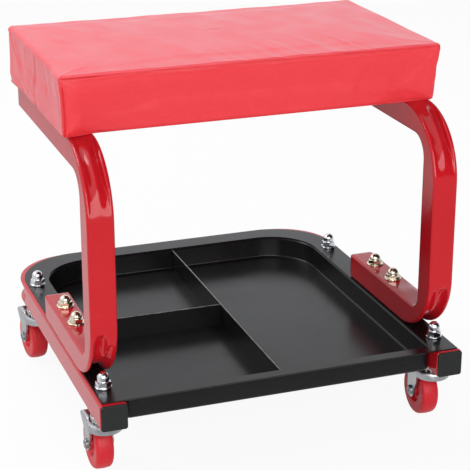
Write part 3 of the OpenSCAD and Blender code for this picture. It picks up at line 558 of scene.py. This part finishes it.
# Nuts and washers
def cap_nut(x, y, z, turn, h, hex_h, af=12.5, r=5.55):
    """Acorn nut. The hexagon's radius is af/2 / cos(a from a flat), its top cut by a cone of 30
    degrees: a point drops by (radius - 0.97 af/2) tan 30. A groove parts it from the dome."""
    a = np.arange(72) * 2 * pi / 72
    reach = af / 2 / cos(((a + pi / 6) % (pi / 3)) - pi / 6)
    drop = (reach - af / 2 * 0.97) * math.tan(math.radians(30))
    out = [(reach * 0.95, 0), (reach, 0.35), (reach, hex_h - drop), (af / 2 * 0.94, hex_h),
           (r * 0.97, hex_h + 0.05), (r * 0.94, hex_h + 0.5), (r, hex_h + 1.0)]
    out += arc(0, h - r, r, 0, 89, 13).tolist()
    t = a + math.radians(turn)
    return rings([np.column_stack([x + q * cos(t), y + q * sin(t), a * 0 + z + k])
                  for q, k in out])


def washer(x, y, z, r, hole, t, edge):
    """Flat washer whose rim is rounded over by the edge radius, as stamping leaves it."""
    rim = np.concatenate([
        [(hole, 0)], arc(r - edge, 0.4, 0.4, -80, 0, 2) + [edge - 0.4, 0],
        arc(r - edge, t - edge, edge, 0, 90, 5), [(hole + 0.3, t), (hole, t - 0.3)]])
    return turned(rim, 64, (x, y, z))


def split_washer(x, y, z, turn, r=7.9, hole=4.3, t=SPRING_T):
    """Spring washer: a rounded square wire round the bolt with an open gap of 14 degrees, one
    end sprung up by 0.35 mm * u^6."""
    u, gap = np.linspace(0, 1, 70), 14
    a = np.radians(turn + gap / 2 + (360 - gap) * u)
    wire = np.concatenate([[(hole, 0.1), (r - 0.4, 0)], arc(r - 0.7, t - 0.7, 0.7, 0, 90, 4),
                           [(hole + 0.3, t), (hole, t - 0.3)]])
    lift = 0.35 * u ** 6
    p = np.stack([np.outer(cos(a), wire[:, 0]) + x, np.outer(sin(a), wire[:, 0]) + y,
                  z + wire[None, :, 1] + lift[:, None]], -1)
    return rings(p)


def low_head(x, y, z, r=5.2, h=2.4):
    """Low round head of a seat bolt under the arm: a flat dome r cos a, h (sin a)^0.8."""
    a = np.radians(np.linspace(0, 88, 12))
    dome = np.column_stack([r * cos(a), -h * sin(a) ** 0.8])
    return turned(np.concatenate([[(0.3, 0), (r, 0)], dome[1:]]), 48, (x, y, z))


LEG_SPOTS = [(s * RAIL_X, y) for s in (-1, 1) for y in FOOT_BOLTS]
STEM_SPOTS = [c[:2] for c in CASTERS.values()]
SEAT_SPOTS = [(s * RAIL_X, SEAT_Y + 60 * k) for s in (-1, 1) for k in (-1, 1)]
FOOT_TOP, ARM_LOW = RIM_Z + TUBE, ARM_Z - TUBE
for name, parts, mat, slot, node in (
        ("leg_nuts", [cap_nut(x, y, FOOT_TOP + WASHER_T, t, 10.2, 3.6)
                      for (x, y), t in zip(LEG_SPOTS, (12, 41, 27, 3))],
         NICKEL, "bright_nut", "leg_cap_nuts"),
        ("leg_washers_top", [washer(x, y, FOOT_TOP, 8.5, 4.2, WASHER_T, 0.7)
                             for x, y in LEG_SPOTS], NICKEL, "zinc_steel", "leg_nut_washers"),
        ("leg_washers_low", [washer(x, y, CASTER_H - WASHER_T, 8.5, 4.2, WASHER_T, 0.5)
                             for x, y in LEG_SPOTS], ZINC, "zinc_steel", "leg_bolt_washers"),
        ("caster_nuts", [cap_nut(x, y, RIM_Z + SPRING_T, t, 14, 5)
                         for (x, y), t in zip(STEM_SPOTS, (8, 35, 22, 50))],
         CHROME, "bright_nut", "caster_cap_nuts"),
        ("seat_bolt_heads", [low_head(x, y, ARM_LOW - THIN_T) for x, y in SEAT_SPOTS],
         ZINC, "zinc_steel", "seat_bolts"),
        ("seat_washers", [washer(x, y, ARM_LOW - THIN_T, 7.5, 3.2, THIN_T, 0.3)
                          for x, y in SEAT_SPOTS], ZINC, "zinc_steel", "seat_bolt_washers"),
        ("spring_washers", [split_washer(x, y, RIM_Z, t)
                            for (x, y), t in zip(STEM_SPOTS, (345, 200, 350, 180))],
         CHROME, "zinc_steel", "caster_lock_washers")):
    place(mesh(name, *joined(parts), mat, 30), "frame", slot, node)


# Casters
def caster(tag, x, y, turn):
    """Wheel, axle and race about the stem, each a profile turned about its own axis."""
    t = math.radians(turn)
    ahead, across = np.array([cos(t), sin(t), 0]), np.array([-sin(t), cos(t), 0])
    centre = np.array([x, y, WHEEL_R]) + ahead * TRAIL
    basis = np.array([ahead, np.cross(across, ahead), across])
    tread = np.concatenate([
        [(3.06, 9.3), (5.6, 9.3), (6.2, 9.1), (6.4, 8.6), (6.5, 5.4), (6.9, 5.0), (11.2, 4.9),
         (11.7, 5.2), (12, 5.8), (12.3, 7.8), (12.8, 8.35), (13.4, 8.5), (20.4, 8.5)],
        arc(20.9, 4.9, 3.7, 78, 8, 8), [(24.85, 3.0), (24.95, 1.6), (25, 0.8), (25, 0)]])
    tread = np.concatenate([tread, tread[-2::-1] * [1, -1]])
    place(mesh("wheel_" + tag, *turned(tread, 128, centre, basis), WHEEL, 38),
          "wheel_" + tag, "red_wheel", "caster_%s_wheel" % tag)
    end = 13.8
    half_pin = np.concatenate([[(0.01, end - 0.6), (1.2, end - 0.5), (1.6, end)],
                               arc(3.4, end - 1.4, 1.4, 90, 0, 4), [(4.8, 11.6), (3.0, 11.6)]])
    pin = np.concatenate([half_pin, half_pin[::-1] * [1, -1]])
    place(mesh("axle_" + tag, *turned(pin, 48, centre, basis), STEEL, 35),
          "fork_" + tag, "zinc_steel", "caster_%s_axle" % tag)
    race = np.concatenate([[(4.4, -0.02), (12.0, -0.02)], arc(11.9, -1.1, 1.1, 80, 0, 4),
                           [(13.0, -3.6), (12.7, -4.3), (11.9, -4.4), (11.4, -4.1), (8.2, -4.1),
                            (7.6, -4.4), (4.4, -4.4)]])
    place(mesh("race_" + tag, *turned(race, 72, (x, y, CASTER_H)), ZINC, 35),
          "frame", "zinc_steel", "caster_%s_race" % tag)
    fork(tag)


def fork(tag):
    """Pressed fork: the solid's own form, merged, with every folded edge rounded by 0.5 mm."""
    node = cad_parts["caster_%s_fork" % tag]
    data = node.data.copy()
    b = bmesh.new()
    b.from_mesh(data)
    bmesh.ops.remove_doubles(b, verts=b.verts, dist=2e-6)
    bmesh.ops.dissolve_limit(b, angle_limit=math.radians(1), verts=b.verts, edges=b.edges)
    b.to_mesh(data)
    b.free()
    piece = linked("fork_shell_" + tag, data)
    data.materials.clear()
    data.materials.append(ZINC)
    data.shade_smooth()
    data.set_sharp_from_angle(angle=math.radians(32))
    m = piece.modifiers.new("folded_edge", "BEVEL")
    m.width, m.segments, m.limit_method, m.angle_limit = 0.0005, 2, "ANGLE", math.radians(40)
    place(piece, "fork_" + tag, "zinc_steel", "caster_%s_fork" % tag)


for tag, spot in CASTERS.items():
    caster(tag, *spot)


# Cushion
def spread(length, close, near=16.0, step=0.6, far=2.6):
    """Places along a side as shares of its length: a close step near the corners, wider between."""
    ends = np.arange(step, near, step) if close else np.arange(4, near, 4)
    count = int((length - 2 * near) / (far if close else 9))
    middle = np.linspace(near, length - near, count)
    return np.concatenate([ends, middle, (length - ends)[::-1]]) / length


def seat_plan(close):
    """Fixed parts of the cushion's outline: the corners each point lies between, its share of
    the way from one to the next, and the outward direction."""
    signs = np.array([(1, 1), (-1, 1), (-1, -1), (1, -1)], float)
    sides = []
    for q in range(4):
        a = pi / 2 * q + np.radians(np.linspace(0, 90, 9 if close else 3))
        u = spread((SEAT_W, SEAT_D)[q % 2] - 8, close)
        out = np.append(a, np.full(len(u), a[-1]))
        sides.append((np.repeat([signs[q]], len(out), 0),
                      np.repeat([signs[(q + 1) % 4]], len(out), 0),
                      np.append(0 * a, u), np.column_stack([cos(out), sin(out)])))
    return [np.concatenate(k) for k in zip(*sides)]


def seat_ring(kit, inset, z, draw=0.0, r=2.8):
    """Outline at a height: a rounded rectangle that leans back at the front and in at the ends
    towards the underside. Between corners it draws in by draw * (1 - (2w - 1)^2)."""
    c0, c1, w, n = kit
    lean = max(0.0, 1 - (z - ARM_Z) / SEAT_H)
    r = max(r - inset, 0.6)
    half = np.array([SEAT_W / 2 - inset - END_LEAN * lean - r,
                     SEAT_D / 2 - inset - FRONT_LEAN * lean / 2 - r])
    pull = draw * np.where(w > 0, 1 - (2 * w - 1) ** 2, 0)
    p = (c0 * (1 - w[:, None]) + c1 * w[:, None]) * half + n * (r - pull)[:, None]
    return flat_ring(p + [0, SEAT_Y + FRONT_LEAN * lean / 2], z)


def seat_levels(close, smaller=0.0):
    """Rings of the cushion from its inside round the board's hollow, under, up and over to the
    crown, whose height is crown * sin(pi/2 * way in / deep)."""
    kit = seat_plan(close)
    z0, z1 = ARM_Z + smaller * 0.5, ARM_Z + SEAT_H - smaller
    r, low, deep = 3.6, 1.4, 96
    walls = np.arange(low, SEAT_H - smaller - r - 0.1, 1.35 if close else 6)
    side, out = 2 * COVER, []
    if close:
        out += [seat_ring(kit, i, ARM_Z + h) for i, h in (
            (8, HOLLOW), (side, HOLLOW), (side, 7), (side, COVER), (12, COVER), (TURN, COVER),
            (TURN + 0.3, 0.6), (TURN, 0.05), (22, 0), (12, 0), (6, 0), (3, 0))]
    out += [seat_ring(kit, i, z) for i, z in arc(smaller + low, z0 + low, low, 270, 200, 3)]
    out += [seat_ring(kit, smaller, z0 + h, 1.2 * math.sin(pi * h / SEAT_H)) for h in walls]
    out += [seat_ring(kit, smaller + r * (1 - cos(a)), z1 - r + r * sin(a), 0.5 * (1 - a / 1.6))
            for a in np.radians(np.linspace(8, 90, 8 if close else 4))]
    reach = np.append(np.arange(0.7, 12, 0.9), np.arange(12, deep, 2.0)) if close else \
        np.arange(5, deep, 7)
    out += [seat_ring(kit, smaller + r + i, z1 + SEAT_CROWN * math.sin(pi / 2 * i / deep))
            for i in reach]
    return out


def filled_form(cell=0.005, most=0.005, frames=20):
    """Cloth blown up on a slightly smaller form, pinned at its underside: the stuffing's own
    fullness, which the cover then takes on. No point moves by more than most (metres)."""
    piece = mesh("stuffing", *rings(seat_levels(False, 1.6)), FOAM, 180)
    bpy.ops.object.select_all(action="DESELECT")
    bpy.context.view_layer.objects.active = piece
    piece.select_set(True)
    m = piece.modifiers.new("remesh", "REMESH")
    m.mode, m.voxel_size = "VOXEL", cell
    bpy.ops.object.modifier_apply(modifier="remesh")
    before = places(piece.data)
    pins = piece.vertex_groups.new(name="pins")
    pins.add(np.flatnonzero(before[:, 2] * 1000 < ARM_Z + 5).tolist(), 1.0, "REPLACE")
    cloth = piece.modifiers.new("cloth", "CLOTH")
    s = cloth.settings
    s.quality, s.mass, s.tension_stiffness, s.compression_stiffness = 6, 0.3, 20, 20
    s.shear_stiffness, s.bending_stiffness = 8, 0.6
    s.use_pressure, s.uniform_pressure_force = True, 4.0
    s.effector_weights.gravity = 0.0
    s.vertex_group_mass = "pins"
    for f in range(1, frames + 1):
        scene.frame_set(f)
    move = places(evaluated(piece)) - before
    piece.modifiers.remove(cloth)
    scene.frame_set(1)
    size = np.linalg.norm(move, axis=1, keepdims=True)
    move *= np.minimum(1.0, most / np.maximum(size, 1e-9))
    piece.data.vertices.foreach_set("co", (before + move).ravel())
    piece.data.update()
    return piece


def along(u, v, path):
    """Distance from each point (u, v) to a bent line, signed by side, and the share of the line
    at the nearest place."""
    path = np.array(path, float)
    steps = np.diff(path, axis=0)
    lengths = np.linalg.norm(steps, axis=1)
    best, share, side = np.full(u.shape, 1e9), np.zeros(u.shape), np.ones(u.shape)
    for p, d, size, run in zip(path, steps, lengths, np.cumsum(lengths) - lengths):
        k = np.clip(((u - p[0]) * d[0] + (v - p[1]) * d[1]) / size ** 2, 0, 1)
        du, dv = u - p[0] - k * d[0], v - p[1] - k * d[1]
        dist = np.hypot(du, dv)
        near = dist < best
        best = np.where(near, dist, best)
        share = np.where(near, (run + k * size) / lengths.sum(), share)
        side = np.where(near, np.sign(d[0] * dv - d[1] * du), side)
    return best, share, side


def ridge(u, v, path, high, wide, step=0.0):
    """Fold along a line: high * exp(-(d / wide)^2), plus a step of step * tanh(d / wide) that
    dies away over six widths; both fade in the first and last tenth of the line."""
    d, share, side = along(u, v, path)
    fade = smooth(share / 0.1 + 0.25) * smooth((1 - share) / 0.1 + 0.1)
    return fade * (high * np.exp(-(d / wide) ** 2)
                   + step * side * np.tanh(d / wide) * np.exp(-(d / (6 * wide)) ** 2))


def tuck(u, v, roof, slope):
    """Cloth pulled under below a creased line: slope * (line's height - v) where v is lower."""
    line = np.interp(u, *zip(*roof))
    return -slope * np.clip(line - v, 0, None)


def sway(u, seed, waves=((0.011, 1.0), (0.027, 0.6), (0.061, 0.2), (0.13, 0.07))):
    """Fixed unevenness: a sum of sines of unrelated lengths."""
    return sum(k * sin(2 * pi * f * u + seed * (3.1 + 7.7 * f * 40)) for f, k in waves)


def folds(p, n):
    """Outward moves (mm) that draw the cover's folds, by the face a point lies on: f front, s
    ends, t top and r rear. A hem runs along all walls just below the top edge."""
    x, y, z = p[:, 0], p[:, 1], p[:, 2] - ARM_Z
    front, rear, ends, top = (smooth(k * 1.6 - 0.3) for k in (
        -n[:, 1], n[:, 1], np.abs(n[:, 0]), n[:, 2]))
    wall, bow = smooth((z - 1) / 4), sin(pi * z / SEAT_H)
    drop = 52.0 - 1.6 * smooth((x + 140) / 90)
    hem = 0.6 * np.exp(-((z - drop) / 1.1) ** 2) * (1 + 0.7 * sway(x + y, 3)) \
        - 0.08 * np.exp(-((z - 54.6) / 1.4) ** 2)
    f = hem + 0.35 * sway(x, 1) * bow + 0.15 * sway(x + 2 * z, 5) * wall
    f -= 2.1 * (np.clip(z - 38, 0, 14) / 14) ** 2 * (1 - 0.55 * smooth((x + 150) / 90))
    for kind, *fold in (
            (ridge, [(-182, 51.5), (-174, 49.6), (-160, 50.4), (-140, 50.6)], 0.35, 1.6),
            (ridge, [(-181, 50), (-167.2, 44.9), (-157, 38)], 0.4, 1.5),
            (ridge, [(-180.5, 47), (-174, 36), (-171, 24)], 0.35, 1.6),
            (ridge, [(-178, 1), (-173.3, 4.9), (-167.3, 12.7), (-158, 26)], 0.2, 2.0, -0.12),
            (tuck, [(-179, 0), (-172, 6), (-163, 9), (-153, 6.5), (-138, 1.5), (-125, 0)], 0.24),
            (ridge, [(180.2, 53), (159.3, 27.7), (146, 15)], 0.3, 3.2, 0.4),
            (ridge, [(112, 52), (97.5, 31.5), (92, 12)], 0.45, 4.0),
            (ridge, [(150, 52), (133, 30), (127, 8)], 0.35, 3.4),
            (tuck, [(108, 0), (124.7, 4), (144, 15.5), (160, 11), (178, 2), (181, 0)], 0.2)):
        f += kind(x, z, *fold)
    s = hem + 0.3 * sway(0.5 * y, 2) * bow + 0.06 * sway(y + 2 * z, 8) * wall
    for kind, *fold in (
            (ridge, [(103, 52), (89.5, 37), (74, 27), (62, 19.3), (47, 9.7), (30, 4)],
             0.45, 2.2, 0.2),
            (ridge, [(92, 50), (80, 42), (66, 27), (40.3, 15.8), (16.7, 9.4), (3, 6.9)],
             0.3, 2.6, 0.15),
            (ridge, [(-7.4, 53), (-1.9, 34.7), (6.8, 6.8)], -0.6, 2.6),
            (ridge, [(1, 53), (8, 30), (16, 12)], 0.35, 2.6),
            (ridge, [(32, 52), (40, 24.6)], -0.45, 2.6),
            (ridge, [(-40, 53), (-46, 20)], -0.35, 4.0),
            (tuck, [(-14, 0), (-8, 3), (2.6, 8), (10, 0), (28, 0), (36, 4), (52, 7.5), (62, 1),
                    (80, 1), (97, 8), (107, 9)], 0.22),
            (ridge, [(-82, 54), (-87.6, 45.7), (-91, 36), (-93, 14)], 0.5, 2.0)):
        s += kind(y, z, *fold)
    across = x + 0.28 * (y + 104)
    t = sum(high * np.exp(-((across - spot) / wide) ** 2) for spot, high, wide in (
        (-17, 0.32, 3), (-10, -0.22, 4), (17, 0.35, 4), (25, -0.2, 3), (33, 0.35, 3.5),
        (42, 0.3, 3), (52, -0.25, 4), (74, 0.4, 4), (86, -0.2, 5), (105, 0.5, 2.4),
        (109, -0.35, 3)))
    t = t * smooth((-35 - y) / 35) + 0.2 * sway(x + 0.4 * y, 4)
    t += ridge(x, y, [(-178, -101), (-168, -92), (-150, -84)], 0.35, 2.0)
    t += ridge(x, y, [(178, -101), (166, -90), (148, -84)], 0.3, 2.4)
    r = hem + 0.4 * sway(x, 9) * bow
    move = front * f + ends * s + rear * r + top * t
    return move * np.where(z < 0.4, 0, 1)


def flap(u, v, run):
    """Hospital fold: a slit about 2 mm wide and 2.2 mm deep, its flap on the corner's side proud
    by 0.8 mm, which dies away in 9 mm. Also gives how far a point lies in the slit."""
    line = run + np.interp(v, (0, 14, 31, 44, 53), (0, 0.3, -0.6, -1.8, -3.4))
    d, fade = u - line, smooth((52 - v) / 10)
    slit = fade * np.exp(-(d / 0.7) ** 2)
    lip = 0.35 * np.exp(-((d - 1.7) / 0.8) ** 2) + np.where(d < 0, 0.8 * np.exp(d / 5.0), 0)
    return fade * lip - 2.2 * slit, slit


def cushion():
    """Cover drawn over the stuffing: the close rings, moved part of the way to the blown-up form
    in the middle of each face, then folded, creased and slit at its corners."""
    piece = mesh("seat_cushion", *rings(seat_levels(True)), VINYL, 180)
    p = places(piece.data) * 1000
    n = np.empty(p.size)
    piece.data.vertex_normals.foreach_get("vector", n)
    n = n.reshape(-1, 3)
    outer = np.arange(len(p)) // len(seat_plan(True)[2]) >= INNER_RINGS
    form = filled_form()
    m = piece.modifiers.new("take_up", "SHRINKWRAP")
    m.target, m.wrap_method = form, "NEAREST_SURFACEPOINT"
    full = places(evaluated(piece)) * 1000
    piece.modifiers.remove(m)
    bpy.data.objects.remove(form)
    puff = np.einsum("ij,ij->i", full - p, n)
    z = p[:, 2] - ARM_Z
    edge = np.minimum(SEAT_W / 2 - np.abs(p[:, 0]), p[:, 1] - SEAT_Y + SEAT_D / 2) \
        + 40 * (1 - np.abs(n[:, 2]))
    share = np.where(n[:, 2] > 0.7, 0.3 * smooth((edge - 4) / 30),
                     0.25 * smooth((z - 6) / 14) * smooth((46 - z) / 14))
    p += n * (np.clip(puff, -1.5, 1.5) * share * outer)[:, None]
    x, y, z = p[:, 0], p[:, 1] - SEAT_Y, p[:, 2] - ARM_Z
    lean = np.clip(1 - z / SEAT_H, 0, 1)
    corner = smooth((-148 - x) / 24) * smooth((-60 - y) / 40)
    left = smooth((-150 - x) / 30)
    fx, fy = x + SEAT_W / 2, y + SEAT_D / 2 - FRONT_LEAN * lean
    move, slits, steep = folds(p, n), 0 * x, 0.75
    for here, off, run in (
            ((-n[:, 1] > steep) & (x < -150), fx, 4.6),
            ((n[:, 0] > steep) & (y < -80), fy + 1.5, 4.3),
            ((n[:, 1] > steep) & (np.abs(x) > 150), SEAT_W / 2 - np.abs(x), 4.3)):
        shift, slit = flap(off, z, run)
        move += np.where(here, shift, 0)
        slits += np.where(here, slit, 0)
    p += n * (move * outer)[:, None]
    p[:, 0] -= lean * left * (2.3 + 2.2 * smooth((y - 50) / 50)) + 1.9 * corner * (1 - lean)
    p[:, 1] -= 5.2 * lean * corner
    piece.data.vertices.foreach_set("co", (p / 1000).ravel())
    # Painted light on the cover: a deeper red as a dark reflection under the walls' top edge and as
    # shade along their bottom edge and in the slits, and a paler red on the top as a painted sheen
    wallness = 1 - smooth(n[:, 2] * 1.3 - 0.35)
    upper = np.exp(-((z - 54.0) / 1.9) ** 4) * (0.55 - 0.4 * smooth(-2 * n[:, 0]))
    edge_shade = wallness * (upper + 0.7 * np.exp(-((z - 1.2) / 1.4) ** 2)) + slits
    top_sheen = smooth(2 * n[:, 2] - 0.9) * (0.75 + 0.25 * smooth(0.5 - y / 120 + x / 400)) * (z > 30)
    # Store the painted shade and the painted sheen as point attributes of the cover
    for name, value in (("painted_edge_shade", edge_shade), ("faded", top_sheen)):
        worn = piece.data.attributes.new(name, "FLOAT", "POINT")
        worn.data.foreach_set("value", np.clip(value * outer, 0, 1).astype(np.float32))
    piece.data.update()
    return piece


seat = cushion()
place(seat, "frame", "red_vinyl", "seat_cover", "seat_foam")

# Materials of the CAD nodes; those that no piece replaces are seen in their own shape
KEEP = {"board": PLY, "foam": FOAM, "cover": VINYL, "balls": NICKEL, "wheel": WHEEL, "axle": STEEL}
for name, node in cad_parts.items():
    node.data.materials.clear()
    node.data.materials.append(KEEP.get(name.split("_")[-1], ZINC))


# Floor, surroundings, lamps and camera
def rays(put):
    """Whether a ray is the camera's, whether it is gloss or transmission, and whether gloss."""
    path = put("LightPath").outputs
    camera_ray, glossy, clear = (path["Is %s Ray" % k] for k in ("Camera", "Glossy",
                                                                "Transmission"))
    return camera_ray, put("Math", operation="MAXIMUM", Value=glossy, Value_001=clear), glossy


def pale_floor_paint(put, at):
    """Pale floor, nearly white to the camera and in gloss, so that its shadow stays faint. In
    gloss it is a little greyer and dark cards lie on it: in front of the object, close behind
    it and far behind."""
    cloud = put("TexNoise", Vector=at, Scale=2.5)
    colour = put("Mix", data_type="RGBA", Factor=cloud, A="#F2F2F2", B="#F5F5F5")
    paint = put("BsdfPrincipled", Base_Color=colour, Roughness=0.9, Specular_IOR_Level=0.0)
    camera_ray, mirrored, glossy = rays(put)
    either = put("Math", operation="MAXIMUM", Value=mirrored, Value_001=camera_ray)
    seen = put("Math", operation="MULTIPLY", Value=either, Value_001=0.93)
    white = put("Emission")
    pale = put("MixShader", Fac=seen, Shader=paint, Shader_001=white)
    split = put("SeparateXYZ", Vector=at)
    x, y = split.outputs["X"], split.outputs["Y"]
    front, across, right, behind, far = (
        put("MapRange", Value=value, From_Min=a, From_Max=b, To_Min=low, To_Max=high)
        for value, a, b, low, high in (
            (y, -0.19, -0.34, CARD_ALL, CARD_FRONT), (x, -0.21, -0.13, 0, 1),
            (x, 0.45, 0.35, 0, CARD_REAR), (y, 0, 0.1, 0, 1), (y, 0.4, 0.7, 0, CARD_FAR)))
    dark = across
    for step, value in (("MULTIPLY", right), ("MULTIPLY", behind), ("MAXIMUM", front),
                        ("MAXIMUM", far), ("MULTIPLY", glossy)):
        dark = put("Math", operation=step, Value=dark, Value_001=value)
    black = put("Emission", Strength=0.02)
    return put("MixShader", Fac=dark, Shader=pale, Shader_001=black)


def surround():
    """White studio: strength 1 to the camera and in gloss, but in gloss dark towards the front
    right and up, and softer as a light."""
    world = bpy.data.worlds.new("studio")
    scene.world = world
    world.use_nodes = True
    world.node_tree.nodes.clear()
    put = partial(add, world.node_tree)
    way = put("TexCoord").outputs["Generated"]
    facing = put("VectorMath", operation="DOT_PRODUCT", Vector=way, Vector_001=DARK_SIDE)
    shade = put("MapRange", Value=facing.outputs["Value"], From_Min=0.35, From_Max=0.70,
                To_Min=1.0, To_Max=0.03)
    tint = put("Mix", data_type="RGBA", blend_type="MULTIPLY", Factor=1.0, A=shade,
               B=(0.96, 0.97, 1.0, 1))
    mirrored = put("Background", Color=tint)
    soft = put("Background", Color="#FFFFFF", Strength=WORLD_LIGHT)
    camera_ray, gloss = rays(put)[:2]
    lit = put("MixShader", Fac=gloss, Shader=soft, Shader_001=mirrored)
    white = put("Background", Color="#FFFFFF")
    out = put("MixShader", Fac=camera_ray, Shader=lit, Shader_001=white)
    put("OutputWorld", Surface=out)


def softbox(name, spot, size, power, mirrored=True):
    """Area lamp of a size (metres) and power (watts), turned to AIM; gloss shows it if mirrored."""
    light = bpy.data.lights.new(name, "AREA")
    light.shape, light.energy = "RECTANGLE", power
    light.size, light.size_y = size
    box = linked(name, light)
    box.location = spot
    box.visible_glossy = mirrored
    box.rotation_euler = (Vector(AIM) - Vector(spot)).to_track_quat("-Z", "Y").to_euler()


# Where the world is dark in gloss, its light, how dark the floor's cards are, the lamps' aim
DARK_SIDE, WORLD_LIGHT = (0.6, -0.5, 0.62), 0.26
CARD_ALL, CARD_FRONT, CARD_REAR, CARD_FAR = 0.27, 0.55, 0.8, 0.45
AIM = (0, 0, 0.2)
FLOOR = [(6000 * x, 6000 * y, 0) for x, y in ((-1, -1), (1, -1), (1, 1), (-1, 1))]
floor = mesh("floor", FLOOR, [(0, 1, 2, 3)], material(pale_floor_paint))
surround()
softbox("box_top", (-0.3, 0.9, 2.2), (1.5, 1.1), 23.5, False)
softbox("box_front", (-0.3, -2.65, 1.1), (2.8, 2.0), 53)
softbox("box_left", (-1.8, 0.9, 1.7), (1.2, 1.0), 20)

# Solved from the photograph: focal length in pixels of its width, place and direction
FOCAL, PIXELS, SENSOR, PITCH, YAW = 1545.9, 470, 36.0, 20.37, 19.86
camera = bpy.data.cameras.new("camera")
camera.sensor_width, camera.lens = SENSOR, FOCAL / PIXELS * SENSOR
camera.clip_start, camera.clip_end = 0.05, 50
eye = linked("camera", camera)
eye.location = (-0.4803, -1.37335, 0.7032)
eye.rotation_euler = Euler((math.radians(90 - PITCH), 0.0, math.radians(-YAW)), "XYZ")
scene.camera = eye
scene.view_settings.view_transform = "Standard"
